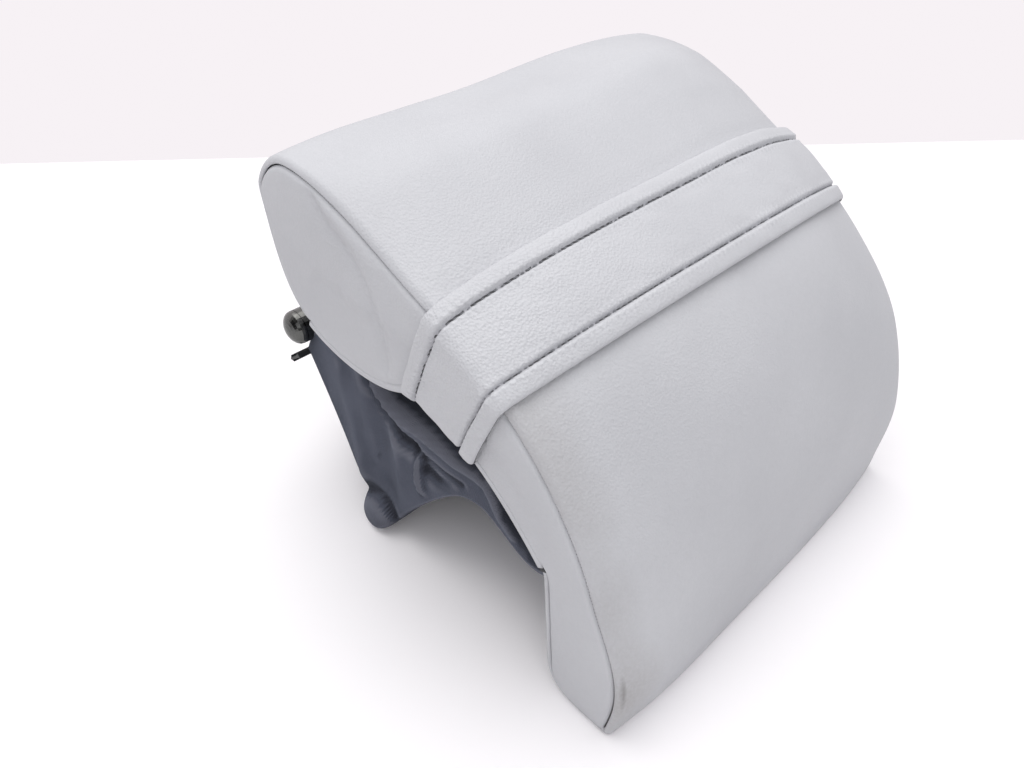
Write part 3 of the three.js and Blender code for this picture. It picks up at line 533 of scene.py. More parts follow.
def strap_height(v, u):
    """Height of the strap over the pad at v across its width and u along it."""
    from_edge = np.minimum(v, STRAP_WIDTH - v)
    from_seam = from_edge - STRAP_SEAM
    edge = (1 - np.clip(1 - from_edge / 2.5, 0, 1) ** 2.3) ** 0.5
    hem = 3.1 * edge + 0.35 * np.sin(math.pi * np.clip((from_edge - 1.5) / 7, 0, 1))
    middle = 2.55 + 0.5 * smooth(from_seam / 8)
    height = np.where(from_edge < STRAP_SEAM, hem, middle)
    drift = 0.45 * np.sin(u / 5.3 + 1.7 * np.sin(u / 17.0)) + 0.3 * np.sin(u / 2.9 + v / 9)
    pucker = 0.5 + 0.5 * np.cos(2 * math.pi * u / STITCH_PITCH + drift)
    rough = 0.5 + 0.5 * np.sin(u / 7.7 + 2.1 * np.sin(u / 23.0) + v / 11)
    groove = (1.7 + 0.45 * pucker) * bell(from_seam, 0.8)
    shoulder = (0.34 + 0.22 * rough) * (1 - pucker) * bell(from_seam + 1.7, 1.05)
    shoulder += (0.30 + 0.26 * rough) * (1 - pucker) * bell(from_seam - 2.0, 1.3)
    return height - groove + shoulder


def strap():
    """The strap as a closed band. Returns it with its resting lines, their normals, and v and u."""
    v = np.array(STRAP_LINES)
    v = np.concatenate([v, (STRAP_WIDTH - v[:-1])[::-1]])
    rows, columns = len(v), STRAP_COLUMNS
    base = np.zeros((rows, columns, 3))
    for i, offset in enumerate(v):
        base[i], length = strap_path(outline.strap_front + offset)
    across = np.gradient(base, v, axis=0)
    normal = np.cross(np.gradient(base, axis=1), across)
    normal /= np.linalg.norm(normal, axis=2)[:, :, None]
    if normal[rows // 2, columns // 2, 2] < 0:
        normal = -normal
    u = np.linspace(0, length, columns)
    height = strap_height(v[:, None], u[None, :])
    across /= np.linalg.norm(across, axis=2)[:, :, None]
    for i, (inwards, edge_height) in enumerate(EDGE_SECTION):
        base[i] += across[i] * (inwards - v[i])
        base[-1 - i] -= across[-1 - i] * (inwards - v[i])
        height[i] = edge_height
        height[-1 - i] = edge_height
    flat = base.reshape(-1, 3)
    height = height.reshape(-1) + 0.22 * wander(flat, 16, 21) + 0.25 * wander(flat, 42, 22)
    top = flat + normal.reshape(-1, 3) * np.maximum(height, 0.05)[:, None]
    bottom = flat - normal.reshape(-1, 3) * 0.15
    size = rows * columns
    faces = grid_faces(rows, columns) + grid_faces(rows, columns, size, flip=True)
    ids = np.arange(size).reshape(rows, columns)
    rim = np.concatenate([ids[0], ids[1:, -1], ids[-1, -2::-1], ids[-2:0:-1, 0]]).tolist()
    for here, following in zip(rim, rim[1:] + rim[:1]):
        faces.append((following, here, size + here, size + following))
    obj = make_mesh("strap_band", puff(np.vstack([top, bottom])), faces)
    outward(obj, PAD_INSIDE)
    darken_strap_seams(obj, v, u)
    return obj, base, normal, v, u


def darken_strap_seams(obj, v, u):
    """The faces deep in the two stitched seams, and under one edge, get seam_shade, a dark copy of the
    leather: painted shade in the grooves and under the edge.
    """
    seam_reach = 0.19 + 0.23 * np.sin(u / 1.9 + 2.0 * np.sin(u / 7.1)) * np.sin(u / 3.7)
    middle = (v[:-1] + v[1:]) / 2
    from_seam = np.abs(np.minimum(middle, STRAP_WIDTH - middle) - STRAP_SEAM)
    dark = from_seam[:, None] < np.maximum(seam_reach, 0.05)[None, :-1]
    # Painted shade under the strap's front edge.
    dark[:3] = True
    for polygon in obj.data.polygons:
        if max(polygon.vertices) < len(v) * len(u):
            row, column = divmod(min(polygon.vertices), len(u))
            if dark[row, column]:
                polygon.material_index = 1


STITCH_HALF_LENGTH = 1.25
STITCH_ARCH = np.array([0.5, 0.97, 1.1, 0.97, 0.5])     # how high it lies over the resting line
STITCH_RADII = np.array([0.12, 0.3, 0.34, 0.3, 0.12])
STITCH_SLANT = 0.16
STITCH_SIDES = 6


def stitches(base, normal, v, u):
    """Single stitches sunk in the two grooves, each a short thread with rounded ends."""
    points, faces = [], []
    rng = np.random.default_rng(5)
    stations = len(STITCH_RADII)
    angles = np.arange(STITCH_SIDES) * 2 * math.pi / STITCH_SIDES
    for seam in (STRAP_SEAM, STRAP_WIDTH - STRAP_SEAM):
        row = int(np.argmin(np.abs(v - seam)))
        for middle in np.arange(6, u[-1] - 6, STITCH_PITCH):
            jitter = rng.uniform(-0.12, 0.12, 2)
            steps = np.linspace(middle - STITCH_HALF_LENGTH + jitter[0],
                                middle + STITCH_HALF_LENGTH + jitter[1], stations)
            out = points_at(steps, u, normal[row])
            centre = points_at(steps, u, base[row]) + out * STITCH_ARCH[:, None]
            along = centre[-1] - centre[0]
            along /= np.linalg.norm(along)
            across = np.cross(along, out[2])
            across /= np.linalg.norm(across)
            centre = centre + across * (STITCH_SLANT * np.linspace(-1, 1, stations))[:, None]
            start = len(points)
            spokes = np.cos(angles)[:, None] * across + np.sin(angles)[:, None] * out[:, None]
            points.extend((centre[:, None] + STITCH_RADII[:, None, None] * spokes).reshape(-1, 3))
            for ring in range(start, start + (stations - 1) * STITCH_SIDES, STITCH_SIDES):
                for side in range(STITCH_SIDES):
                    here, following = ring + side, ring + (side + 1) % STITCH_SIDES
                    faces.append((here, following, following + STITCH_SIDES, here + STITCH_SIDES))
            last = start + (stations - 1) * STITCH_SIDES
            faces.append(tuple(range(start + STITCH_SIDES - 1, start - 1, -1)))
            faces.append(tuple(range(last, last + STITCH_SIDES)))
    return make_mesh("strap_stitching", puff(points), faces)


# The frame that the skirt is drawn over: rod and lower tube in the side view
ROD = np.array([HEEL[0] + 24.5, HEEL[1] - 27.5])
WRAP = 9.3                      # radius of the tube with the fabric round it
TUBE = np.array([ROD[0] - 65.5, WRAP])
ALONG = (ROD - TUBE) / np.linalg.norm(ROD - TUBE)
BACK = np.array([ALONG[1], -ALONG[0]])
HEM_TOP = float(np.linalg.norm(ROD - TUBE)) - 13.1
WINDOW = 64.0                   # half the width of the opening in the skirt's rear


def frame_point(along, back):
    """A point in the side view, up the frame from the tube and back from its middle plane."""
    return TUBE + ALONG * along + BACK * back


# The skirt's lower line, from its front end round the tube to the rear hem, and the line it hangs from
SKIRT_LOW = [(44, 62), (49.5, 60), (57.5, 59.5), (65.5, 63), (72, 67.5), (79, 72), (84, 75.5),
             (89.5, 76), (95.5, 75), (101, 72.5), (110, 64.5), (119, 55.5), (127, 46.5), (136, 36),
             (144, 26), (151, 16), (155.5, 9.5), (160.5, 3.8), (167, 0.4), (173, 1.6), (177, 6.5)]
SKIRT_LOW += [frame_point(along, WRAP) for along in np.linspace(4, HEM_TOP, 14)]
SKIRT_HIGH = [(47, 79.5), (52, 84), (58, 90), (66, 97), (76, 105), (88, 112), (100, 116.5), (112, 118),
              (124, 117.5), (136, 115), (148, 112.5), (160, 111), (172, 111.5), (184, 113.5), (193, 116.5),
              (199, 118.5), (208, 112), (217, 104.5), (226, 96), frame_point(HEM_TOP, WRAP)]
# The ridge under which the near side tucks in below the pad, as far back as TUCK_END
RIDGE = [(175, 121), (173.3, 116.5), (171.5, 110), (167.5, 102), (162, 95.5), (150, 93), (135.5, 93),
         (122, 93.4), (111, 93), (100.5, 92.8), (88.5, 93.6), (82, 92.5), (78, 87), (74, 78), (67.3, 70.6),
         (57, 63), (49, 61.5), (40, 62)]
TUCK_DEPTH, TUCK_OVER, TUCK_END = 14.0, 13, 180
# Folds of the sides: line in (a, z), height out of the side and width
FOLDS = [
    (RIDGE[2:-3], 1.6, 2.8),
    ([(172.5, 116), (170.5, 98), (160, 85), (144, 79.5), (133, 79)], -3.4, 4.2),
    ([(133, 79), (123.5, 79), (110, 79.5), (98, 81)], -1.6, 2.4),
    ([(129.5, 78), (128.7, 64), (126, 57.5), (121, 56.5)], 2.2, 2.2),
    ([(124, 72.5), (115, 71.4), (107, 73)], -2.4, 4.5),
    ([(196, 94), (191, 71), (184, 49), (179, 29)], 1.0, 6.5),
    ([(165, 84), (160.5, 66), (159, 50), (159.5, 32)], -2.2, 9.0),
    ([(186, 104), (181, 84), (178, 62), (172, 44)], -0.6, 5.0),
    ([(150, 72), (146, 60), (147, 46)], 0.6, 6.0),
]
NEAR_FOLDS, FAR_FOLDS = 1.5, 0.9        # how strong the folds are on each side
SKIRT_ROWS = 150
SKIRT_SIDE_LINES, SKIRT_BOTTOM_LINES = 34, 61
SKIRT_ROUND = 3.0               # radius where the sides turn into the bottom
SKIRT_HALF = 118.4


def skirt_line(points):
    """A line of the skirt with its points at even steps, softened."""
    points = np.array(points)
    along = lengths_along(points)
    line = points_at(np.linspace(0, along[-1], SKIRT_ROWS), along, points)
    for _ in range(7):
        line[1:-1] = (line[:-2] + 2 * line[1:-1] + line[2:]) / 4
    return line


def skirt_half_widths(low, up_frame, on_back):
    """Half the skirt's width at its bottom line and at the line that it hangs from."""
    half_low = SKIRT_HALF - 9.0 * np.clip(up_frame / HEM_TOP, 0, 1) * on_back
    half_low = half_low - 3.4 * ramp(low[:, 0], 120, 60) * (1 - on_back)
    half_high = half_low - 4.0 * (1 - ramp(up_frame, 60, 100) * on_back)
    return half_low, half_high


def skirt_section(low, high, half_low, half_high):
    """One U of the skirt: down the near side, across the bottom and up the far side."""
    rule = high - low
    length = max(np.linalg.norm(rule), 1e-6)
    rule = rule / length
    turn = min(SKIRT_ROUND, length * 0.7)
    near = []
    for share in np.linspace(1, 0, SKIRT_SIDE_LINES) ** 1.25:
        x = half_low + (half_high - half_low) * share
        near.append((-x, *(low + rule * (turn + (length - turn) * share))))
    for angle in np.radians([75, 60, 45, 30, 15]):
        x = half_low - turn + turn * math.sin(angle)
        near.append((-x, *(low + rule * turn * (1 - math.cos(angle)))))
    bottom = [(share * (half_low - turn), *low) for share in np.linspace(-1, 1, SKIRT_BOTTOM_LINES)]
    far = [(-x, a, z) for x, a, z in near[::-1]]
    return near + bottom + far


def fold_heights(places, lines, strength):
    total = np.zeros(len(places))
    for line, (_, height, width) in zip(lines, FOLDS):
        gap, _ = distance_to(places, line)
        total += strength * height * bell(gap, width)
    return total


def shape_skirt_sides(flat, low):
    """Pushes the two sides out and in: the tube's end, the taut rear edge, the folds and the tuck."""
    side = ramp(np.abs(flat[:, 0]), 100, 108)
    places = flat[:, 1:].copy()
    from_tube = np.hypot(*(places - TUBE).T)
    up_frame = (places - TUBE) @ ALONG
    behind = smooth(((places - TUBE) @ BACK) / WRAP)

    # The tube's end stands out as a round lump, with a waist above it on the taut rear edge.
    waist = 2.8 * np.sin(math.pi * np.clip(up_frame / HEM_TOP, 0, 1)) + 3.0 * bell(up_frame - 16, 7.5)
    flat[:, 1:] -= (waist * side * behind)[:, None] * BACK
    lump = 7.2 * np.clip(1 - (from_tube / 15.0) ** 2, 0, 1) ** 0.8 - 1.6 * bell(from_tube - 16.0, 4.0)

    # The far side has the same folds, a little weaker and moved, so that the sides aren't twins.
    near_lines = [line for line, _, _ in FOLDS]
    far_lines = [[(a + 4 * math.sin(z / 14), z - 3) for a, z in line] for line in near_lines]
    near = fold_heights(places, near_lines, NEAR_FOLDS)
    far = fold_heights(places, far_lines, FAR_FOLDS)
    push = np.where(flat[:, 0] < 0, near, far) + 0.5 * wander(flat, 26, 31)
    edge_gap, _ = distance_to(places, low)
    push *= smooth((edge_gap - 1) / 9) * smooth((from_tube - 13) / 14)
    ridge_gap, ridge_side = distance_to(places, RIDGE)
    tucked = (ridge_side < 0) & (places[:, 0] < TUCK_END)
    push -= np.where(tucked, TUCK_DEPTH * smooth(ridge_gap / TUCK_OVER), 0)
    flat[:, 0] += np.sign(flat[:, 0]) * (push + lump) * side


def shape_skirt_bottom(flat, columns):
    """The bottom sags and gathers a little between the tube and the arch."""
    row = np.repeat(np.arange(SKIRT_ROWS), columns)
    under = 1 - ramp(np.abs(flat[:, 0]), 98, 110)
    loose = bell(row / SKIRT_ROWS - 0.27, 0.16)
    ripple = 1.8 * np.sin(flat[:, 0] / 13.0 + 0.9 * np.sin(flat[:, 0] / 31.0)) + 0.8 * wander(flat, 38, 33)
    flat[:, 2] += under * loose * (ripple + 1.2)


def skirt():
    """One sheet: side, bottom and rear in a U round the base frame, open at the top."""
    low, high = skirt_line(SKIRT_LOW), skirt_line(SKIRT_HIGH)
    up_frame, back = (low - TUBE) @ ALONG, (low - TUBE) @ BACK
    behind = back > WRAP - 3
    on_back = smooth((up_frame - 4) / 20) * behind
    half_low, half_high = skirt_half_widths(low, up_frame, on_back)
    sections = [skirt_section(*row) for row in zip(low, high, half_low, half_high)]
    columns = len(sections[0])
    flat = np.array(sections).reshape(-1, 3)
    shape_skirt_sides(flat, low)
    shape_skirt_bottom(flat, columns)
    open_row = behind & (up_frame > 1.5) & (on_back > 0)
    faces = []
    for index, face in enumerate(grid_faces(SKIRT_ROWS, columns)):
        in_window = abs(np.mean(flat[list(face), 0])) < WINDOW
        if not (in_window and open_row[index // (columns - 1)]):
            faces.append(face)
    flat[:, 2] = np.maximum(flat[:, 2], 0.3)
    obj = make_mesh("fabric_skirt", flat, faces)
    drop_loose_points(obj)
    outward(obj, SKIRT_INSIDE)
    measure_uv(obj, flat.reshape(SKIRT_ROWS, columns, 3))
    return thicken(obj, FABRIC)


def measure_uv(obj, grid):
    """Gives each corner its place on the sheet, in metres across and along."""
    across, along = lengths_along(grid, 1), lengths_along(grid, 0)
    across -= across[:, [grid.shape[1] // 2]]
    index_at = {}
    for index, (x, a, z) in enumerate(grid.reshape(-1, 3)):
        index_at.setdefault((round(x, 2), round(a, 2), round(z, 2)), index)
    uv = obj.data.uv_layers.new(name="cloth")
    for loop in obj.data.loops:
        co = obj.data.vertices[loop.vertex_index].co
        key = (round(co.x * 1000, 2), round(co.y * 1000 + LIP_TO_ORIGIN, 2), round(co.z * 1000, 2))
        index = index_at.get(key, 0)
        uv.data[loop.index].uv = (across.flat[index] / 1000, along.flat[index] / 1000)


# Parts of materials
def new_material(name):
    material = bpy.data.materials.new(name)
    material.use_nodes = True
    tree = material.node_tree
    tree.nodes.clear()
    out = tree.nodes.new("ShaderNodeOutputMaterial")
    shader = tree.nodes.new("ShaderNodeBsdfPrincipled")
    tree.links.new(shader.outputs["BSDF"], out.inputs["Surface"])
    place = tree.nodes.new("ShaderNodeTexCoord").outputs["Object"]
    return material, tree, shader, place


def node(tree, kind, inputs=None, **settings):
    """A new node, by its type's name after ShaderNode, with its inputs linked or set."""
    made = tree.nodes.new("ShaderNode" + kind)
    for key, value in settings.items():
        setattr(made, key, value)
    for key, value in (inputs or {}).items():
        if isinstance(value, bpy.types.NodeSocket):
            tree.links.new(value, made.inputs[key])
        else:
            made.inputs[key].default_value = value
    return made


def mix_color(tree, factor, a, b):
    return node(tree, "Mix", {0: factor, 6: a, 7: b}, data_type="RGBA").outputs[2]


def maths(tree, operation, a, b, kind="Math"):
    return node(tree, kind, {0: a, 1: b}, operation=operation).outputs[0]


def remap(tree, value, low, high, to_low=0.0, to_high=1.0, **settings):
    return node(tree, "MapRange", {
        "Value": value, "From Min": low, "From Max": high, "To Min": to_low, "To Max": to_high,
    }, **settings).outputs["Result"]


def noise(tree, place, scale, detail, **more):
    inputs = {"Vector": place, "Scale": scale, "Detail": detail, **more}
    return node(tree, "TexNoise", inputs).outputs["Fac"]


def knit(tree, cloth, scale, direction):
    inputs = {"Vector": cloth, "Scale": scale, "Distortion": 2.5, "Detail": 2.0, "Detail Scale": 3.0}
    return node(tree, "TexWave", inputs, bands_direction=direction).outputs["Fac"]


def spot(tree, place, centre, radius, squeeze=(1, 1, 1)):
    """One at the middle of a soft ball round a point in metres, falling to nothing at its radius."""
    shifted = maths(tree, "SUBTRACT", place, centre, "VectorMath")
    scaled = maths(tree, "MULTIPLY", shifted, squeeze, "VectorMath")
    length = node(tree, "VectorMath", {0: scaled}, operation="LENGTH").outputs["Value"]
    return remap(tree, length, radius, 0.0)


def dress(tree, shader, color, rough, height, strength, distance, constants=None):
    """Gives a surface its color, roughness, bump (its distance in metres) and constant inputs."""
    bump = node(tree, "Bump", {"Height": height, "Strength": strength, "Distance": distance})
    tree.links.new(color, shader.inputs["Base Color"])
    tree.links.new(rough, shader.inputs["Roughness"])
    tree.links.new(bump.outputs["Normal"], shader.inputs["Normal"])
    for key, value in (constants or {}).items():
        shader.inputs[key].default_value = value


def toned(color, tone):
    return (*(part * tone for part in color), 1)


# Materials
LEATHER_LIGHT, LEATHER_DARK, LEATHER_PORE = (0.618, 0.620, 0.645), (0.566, 0.568, 0.593), (0.47, 0.48, 0.50)
NEAR_CORNER, NEAR_CORNER_REACH = (-0.105, -0.03, 0.165), 0.13     # in metres


def leather_material(name, tone=1.0, grain=1.0, marks=()):
    """Pebbled leather. Each mark is a centre, a radius, a squeeze of its ball, a color and a strength."""
    material, tree, shader, place = new_material(name)
    cloudy = noise(tree, place, 14.0, 4.0)
    fine = noise(tree, place, 420.0, 3.0)
    wrinkle = noise(tree, place, 640.0, 2.0, Roughness=0.5, Distortion=0.35)
    pebble = node(tree, "TexVoronoi", {"Vector": place, "Scale": 900.0, "Smoothness": 0.25},
                  feature="SMOOTH_F1").outputs["Distance"]
    clouds = remap(tree, cloudy, 0.3, 0.7)
    color = mix_color(tree, clouds, toned(LEATHER_DARK, tone), toned(LEATHER_LIGHT, tone))
    pores = remap(tree, fine, 0.35, 0.75, 0.0, 0.10)
    color = mix_color(tree, pores, color, toned(LEATHER_PORE, tone))
    for centre, radius, squeeze, mark_color, strength in marks:
        mask = spot(tree, place, centre, radius, squeeze)
        broken = maths(tree, "MULTIPLY", mask, remap(tree, wrinkle, 0.35, 0.6, 0.7, 1.0))
        color = mix_color(tree, maths(tree, "MULTIPLY", broken, strength), color, mark_color)
    # The grain shows most at the near corner, where the leather is stretched.
    near_corner = spot(tree, place, NEAR_CORNER, NEAR_CORNER_REACH)
    weight = remap(tree, cloudy, 0.3, 0.7, 0.5, 1.0)
    weight = maths(tree, "ADD", weight, maths(tree, "MULTIPLY", near_corner, 1.5))
    height = maths(tree, "ADD", maths(tree, "MULTIPLY", pebble, 0.55), maths(tree, "MULTIPLY", wrinkle, 0.15))
    height = maths(tree, "MULTIPLY", height, weight)
    dress(tree, shader, color, remap(tree, wrinkle, 0.3, 0.7, 0.50, 0.62), height, 0.55 * grain, 0.00045,
          {"Specular IOR Level": 0.42})
    return material


def fabric_material(name):
    """Slate-blue brushed knit, with painted shade in its folds and hollows and a painted highlight along the
    tops of its folds.
    """
    material, tree, shader, place = new_material(name)
    cloth = node(tree, "TexCoord").outputs["UV"]
    cloudy = noise(tree, place, 30.0, 5.0)
    fleece = noise(tree, place, 900.0, 4.0, Roughness=0.7)
    lint = node(tree, "TexVoronoi",
                {"Vector": place, "Scale": 260.0, "Randomness": 1.0}).outputs["Distance"]
    occlusion_for_painted_shade = node(tree, "AmbientOcclusion", {"Distance": 0.05}, samples=8).outputs["AO"]
    pointiness_for_painted_light = node(tree, "NewGeometry").outputs["Pointiness"]
    color = mix_color(tree, remap(tree, cloudy, 0.3, 0.7), (0.060, 0.064, 0.086, 1), (0.090, 0.096, 0.124, 1))
    color = mix_color(tree, remap(tree, fleece, 0.35, 0.8, 0.0, 0.45), color, (0.115, 0.130, 0.175, 1))
    color = mix_color(tree, remap(tree, lint, 0.10, 0.04, 0.0, 0.35), color, (0.20, 0.22, 0.27, 1))
    # Painted shade: the cloth turns near black where ambient occlusion finds it hidden.
    color = mix_color(tree, remap(tree, occlusion_for_painted_shade, 0.30, 0.95), (0.010, 0.010, 0.014, 1), color)
    # Painted shade in the hollows and a painted highlight on the crests, from pointiness.
    color = mix_color(tree, remap(tree, pointiness_for_painted_light, 0.495, 0.465, 0.0, 0.75), color, (0.012, 0.012, 0.017, 1))
    color = mix_color(tree, remap(tree, pointiness_for_painted_light, 0.505, 0.525, 0.0, 0.70), color, (0.175, 0.180, 0.215, 1))
    threads = maths(tree, "ADD", knit(tree, cloth, 330.0, "X"), knit(tree, cloth, 300.0, "Y"))
    height = maths(tree, "ADD", maths(tree, "MULTIPLY", threads, 0.3), fleece)
    dress(tree, shader, color, remap(tree, fleece, 0.3, 0.7, 0.88, 1.0), height, 0.6, 0.0005,
          {"Specular IOR Level": 0.25, "Sheen Weight": 0.16, "Sheen Roughness": 0.5,
           "Sheen Tint": (0.55, 0.62, 0.78, 1)})
    return material


def thread_material(name):
    material, tree, shader, place = new_material(name)
    twist = node(tree, "TexWave", {"Vector": place, "Scale": 900.0, "Distortion": 1.0},
                 bands_direction="DIAGONAL").outputs["Fac"]
    color = mix_color(tree, twist, (0.20, 0.205, 0.22, 1), (0.38, 0.385, 0.41, 1))
    dress(tree, shader, color, remap(tree, twist, 0, 1, 0.45, 0.6), twist, 0.5, 0.0002)
    return material


def metal_material(name, light, dark, rough, streak=1.0):
    """Metal drawn along X, with cloudy wear."""
    material, tree, shader, place = new_material(name)
    cloudy = noise(tree, place, 45.0, 6.0)
    drawn = noise(tree, maths(tree, "MULTIPLY", place, (60, 900, 900), "VectorMath"), 1.0, 3.0)
    color = mix_color(tree, remap(tree, cloudy, 0.35, 0.68), light, dark)
    wear = maths(tree, "ADD", remap(tree, cloudy, 0.3, 0.7, 0.0, 0.10),
                 remap(tree, drawn, 0.3, 0.7, 0.0, 0.06 * streak))
    dress(tree, shader, color, maths(tree, "ADD", wear, rough), drawn, 0.12 * streak, 0.0003,
          {"Metallic": 1.0})
    return material


def plastic_material(name, light, dark, rough):
    material, tree, shader, place = new_material(name)
    cloudy = noise(tree, place, 25.0, 4.0)
    spark = noise(tree, place, 1500.0, 2.0)
    color = mix_color(tree, remap(tree, cloudy, 0.3, 0.7), dark, light)
    roughness = remap(tree, cloudy, 0.3, 0.7, rough - 0.06, rough + 0.08)
    dress(tree, shader, color, roughness, spark, 0.35, 0.0003)
    return material


def floor_material():
    """A white table. What the camera sees of it gets a lift, which lights nothing else."""
    material, tree, shader, place = new_material("table")
    cloudy = noise(tree, place, 3.0, 2.0)
    color = mix_color(tree, remap(tree, cloudy, 0.3, 0.7), (0.86, 0.845, 0.85, 1), (0.88, 0.865, 0.87, 1))
    tree.links.new(color, shader.inputs["Base Color"])
    shader.inputs["Roughness"].default_value = 0.7
    shader.inputs["Specular IOR Level"].default_value = 0.2
    seen = node(tree, "LightPath").outputs["Is Camera Ray"]
    lift_color = mix_color(tree, seen, (0, 0, 0, 1), (0.16, 0.150, 0.156, 1))
    lift = node(tree, "BsdfDiffuse", {"Color": lift_color}).outputs["BSDF"]
    both = node(tree, "AddShader", {0: shader.outputs["BSDF"], 1: lift}).outputs["Shader"]
    tree.links.new(both, tree.nodes["Material Output"].inputs["Surface"])
    return material


def paint(obj, *materials):
    obj.data.materials.clear()
    for material in materials:
        obj.data.materials.append(material)


# The marks on the leather: centre and radius in metres, squeeze, color and strength
DARKER_BY_SEAM = (0.37, 0.352, 0.345, 1)
COVER_MARKS = [
    ((-0.1198, -0.1250, 0.037), 0.014, (8.0, 1.0, 1.0), (0.13, 0.12, 0.12, 1), 0.85),
    ((-0.0600, -0.0710, 0.152), 0.005, (1.6, 1.0, 1.6), (0.33, 0.33, 0.34, 1), 0.5),
    # The last four marks darken the front along its near edge by the seam, most towards the bottom.
    ((-0.1180, -0.0590, 0.143), 0.034, (1.3, 1.0, 1.0), DARKER_BY_SEAM, 0.45),
    ((-0.1190, -0.0830, 0.118), 0.034, (1.6, 1.0, 1.0), DARKER_BY_SEAM, 0.45),
    ((-0.1190, -0.1070, 0.075), 0.034, (1.8, 1.0, 1.0), DARKER_BY_SEAM, 0.40),
    ((-0.1190, -0.1230, 0.030), 0.040, (1.6, 1.0, 1.0), DARKER_BY_SEAM, 0.65),
]
STRAP_MARKS = [((0.0100, -0.0240, 0.1950), 0.0022, (1, 1, 1), (0.10, 0.10, 0.10, 1), 0.9)]


def build_cover():
    """The leather pieces and the stitching, which ride with the pad."""
    leather = leather_material("leather_cover", marks=COVER_MARKS)
    # The gussets' copy of the leather is painted slightly darker, as painted shade on the side faces, and the
    # strap's copy slightly lighter, as painted light; their grain strength differs too.
    leather_side_painted_darker = leather_material("leather_gusset", tone=0.99, grain=0.7)
    leather_strap = leather_material("leather_strap_painted_lighter", tone=1.03, grain=1.25, marks=STRAP_MARKS)
    # A dark copy of the leather, for painted shade deep in the seams and under the strap's front edge.
    seam_shade = leather_material("seam_shade", tone=0.20, grain=0.5)
    front = panel("front_cover", FRONT_FROM, outline.strap_middle - PANEL_GAP, ends=(1.2, 0))
    top = panel("top_cover", outline.strap_middle + PANEL_GAP, BARE_FROM, ends=(0, 0.6))
    leaf = panel("leaf_cover", LEAF_FROM, LEAF_TO, ends=(-0.4, 0.3), reaches=(5.0, 2.2), inside=LEAF_INSIDE)
    left, right = gusset("gusset_left", -1, 1.0), gusset("gusset_right", 1, 0.55)
    band, *strap_lines = strap()
    sewing = stitches(*strap_lines)
    for piece, material, *node_names in (
        (front, leather, "leather_front_panel", "foam_core"),
        (top, leather, "leather_top_panel"),
        (leaf, leather, "leather_inner_panel"),
        (left, leather_side_painted_darker, "leather_gusset_left"),
        (right, leather_side_painted_darker, "leather_gusset_right"),
        (band, leather_strap, "leather_strap"),
    ):
        places = [polygon.material_index for polygon in piece.data.polygons]
        paint(piece, material, seam_shade)
        piece.data.polygons.foreach_set("material_index", places)
        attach(piece, "pad")
        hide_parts(*node_names)
    paint(sewing, thread_material("thread"))
    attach(sewing, "pad")


def build_skirt():
    """The fabric skirt, shaped round the frame at its rear and up under the pad at its top."""
    cover = skirt()
    paint(cover, fabric_material("skirt_fabric"))
    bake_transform(cover)
    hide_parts("skirt_bottom_panel", "skirt_side_left", "skirt_side_right", "skirt_rear_left",
                "skirt_rear_right")


def finish_frame():
    """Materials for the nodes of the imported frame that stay, by the start of their names."""
    chrome = metal_material("chrome", (0.58, 0.58, 0.59, 1), (0.46, 0.46, 0.48, 1), 0.17, streak=0.5)
    dark_chrome = metal_material("dark_chrome", (0.17, 0.172, 0.165, 1), (0.10, 0.102, 0.10, 1), 0.20,
                                 streak=0.5)
    zinc = metal_material("zinc_steel", (0.55, 0.56, 0.57, 1), (0.38, 0.39, 0.40, 1), 0.30)
    steel = metal_material("spring_steel", (0.30, 0.30, 0.31, 1), (0.20, 0.20, 0.21, 1), 0.28)
    plastic = plastic_material("moulded_plastic", (0.030, 0.031, 0.034, 1), (0.020, 0.021, 0.023, 1), 0.50)
    bush = plastic_material("bush_plastic", (0.060, 0.060, 0.062, 1), (0.042, 0.042, 0.044, 1), 0.38)
    rubber = plastic_material("rubber", (0.022, 0.022, 0.023, 1), (0.014, 0.014, 0.015, 1), 0.80)
    finishes = {
        "pivot_rod": dark_chrome, "rod_cap": dark_chrome, "lower_cross_tube": zinc, "cheek_plate": zinc,
        "mounting_bracket": zinc, "bracket_rivet": chrome, "retaining_ring": steel, "wrap_spring": steel,
        "hinge_bush": bush, "pad_carrier": plastic, "hem_profile": plastic, "stop_buffer": rubber,
    }
    for name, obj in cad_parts.items():
        for start, material in finishes.items():
            if name.startswith(start):
                paint(obj, material)


# Table, light and camera, in metres
CAMERA = Vector((-0.2739, -0.2191, 0.3437))
CAMERA_FORWARD = Vector((0.539, 0.559, -0.630))
CAMERA_RIGHT = Vector((0.7197, -0.6943, 0.0))
LENS, SENSOR = 28.125, 36.0     # in millimetres
EDGE_LEFT, EDGE_RIGHT = 0.84, 0.79      # how far the table's back edge lies ahead of the camera
EDGE_EXTRA, EDGE_ASIDE, TABLE_REACH = 0.2, 3, 4
WALL = (0.930, 0.885, 0.913, 1)
DARK_WALL = (0.02, 0.02, 0.022, 1)
DARK_WALL_SIDE = (-0.64, -0.66, 0.38)
SKY = (0.965, 0.97, 1.0, 1)
LAMP_TARGET = (0, 0, 0.1)


def build_table():
    aside = CAMERA_RIGHT.normalized()
    ahead = Vector((-aside.y, aside.x, 0))
    foot = Vector((CAMERA.x, CAMERA.y, 0))
    corners = [
        foot + ahead * (EDGE_LEFT - EDGE_EXTRA) - aside * EDGE_ASIDE,
        foot + ahead * (EDGE_RIGHT + EDGE_EXTRA) + aside * EDGE_ASIDE,
        foot - ahead * TABLE_REACH + aside * TABLE_REACH,
        foot - ahead * TABLE_REACH - aside * TABLE_REACH,
    ]
    mesh = bpy.data.meshes.new("table_top")
    mesh.from_pydata([tuple(corner) for corner in corners], [], [(0, 3, 2, 1)])
    table = add_object("table_top", mesh)
    paint(table, floor_material())


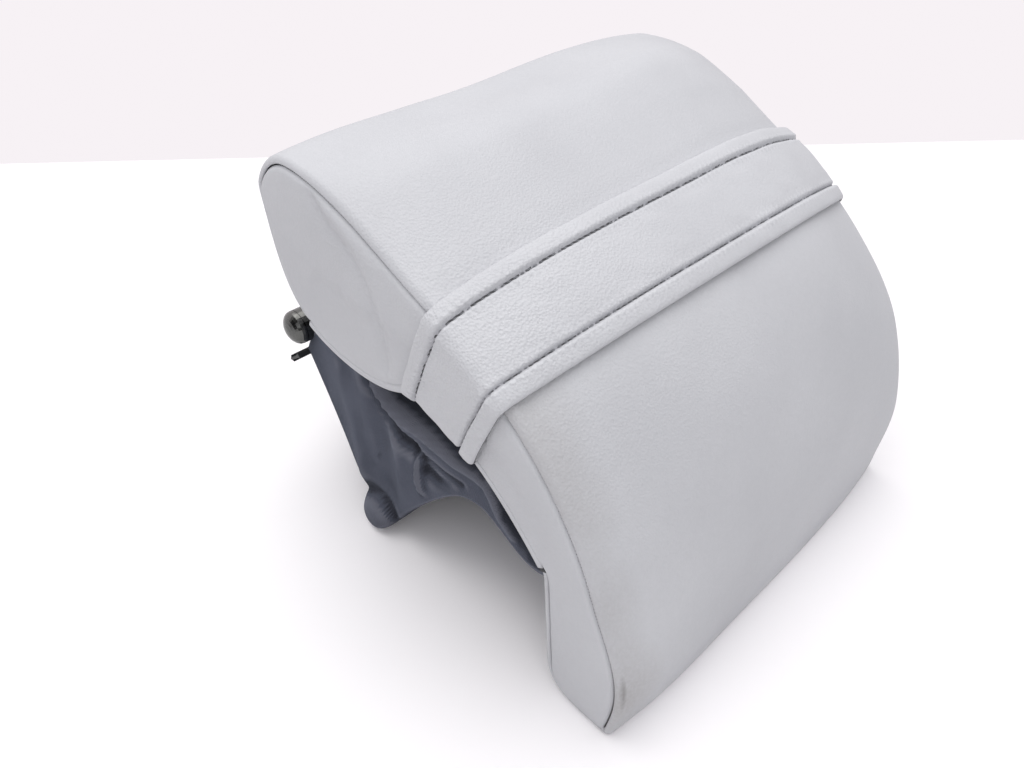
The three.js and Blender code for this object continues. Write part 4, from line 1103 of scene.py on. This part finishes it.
def build_world():
    """A pale wall that the camera and reflections see, and a dimmer sky that lights the object."""
    world = bpy.data.worlds.new("studio")
    bpy.context.scene.world = world
    world.use_nodes = True
    tree = world.node_tree
    tree.nodes.clear()
    rays = node(tree, "LightPath").outputs
    sky = node(tree, "TexCoord").outputs["Generated"]
    sky_z = node(tree, "SeparateXYZ", {"Vector": sky}).outputs["Z"]
    strength = remap(tree, sky_z, -0.05, 0.8, 0.15, 0.88)
    dim = node(tree, "Background", {"Color": SKY, "Strength": strength}).outputs[0]
    # The room on the front left is dark, and only reflections show it.
    toward = node(tree, "VectorMath", {0: sky, 1: DARK_WALL_SIDE}, operation="DOT_PRODUCT")
    dark_room = remap(tree, toward.outputs["Value"], 0.10, 0.45, interpolation_type="SMOOTHSTEP")
    dark_room = maths(tree, "MULTIPLY", dark_room, rays["Is Glossy Ray"])
    wall_color = mix_color(tree, dark_room, WALL, DARK_WALL)
    wall = node(tree, "Background", {"Color": wall_color, "Strength": 1.0}).outputs[0]
    seen = maths(tree, "MAXIMUM", rays["Is Camera Ray"], rays["Is Glossy Ray"])
    seen = maths(tree, "MAXIMUM", seen, rays["Is Transmission Ray"])
    both = node(tree, "MixShader", {0: seen, 1: dim, 2: wall}).outputs[0]
    node(tree, "OutputWorld", {"Surface": both})


def add_lamp(name, place, size, power, color):
    data = bpy.data.lights.new(name, "AREA")
    data.shape = "DISK"
    data.size = size
    data.energy = power
    data.color = color
    lamp = add_object(name, data)
    lamp.location = place
    lamp.rotation_euler = (Vector(LAMP_TARGET) - Vector(place)).to_track_quat("-Z", "Y").to_euler()


def place_camera():
    data = bpy.data.cameras.new("camera")
    data.lens = LENS
    data.sensor_width = SENSOR
    data.sensor_fit = "HORIZONTAL"
    data.clip_start = 0.02
    camera = add_object("camera", data)
    forward = CAMERA_FORWARD.normalized()
    up = CAMERA_RIGHT.normalized().cross(forward).normalized()
    right = forward.cross(up).normalized()
    turn = Matrix((right, up, -forward)).transposed()
    camera.matrix_world = Matrix.Translation(CAMERA) @ turn.to_4x4()
    bpy.context.scene.camera = camera


build_cover()
build_skirt()
finish_frame()
build_table()
build_world()
add_lamp("overhead", (-0.05, 0.35, 1.6), 1.7, 13.2, (1.0, 0.99, 0.975))
add_lamp("window", (-1.0, -1.1, 1.1), 1.3, 4.0, (0.985, 0.985, 1.0))
place_camera()
bpy.context.scene.view_settings.view_transform = "Standard"
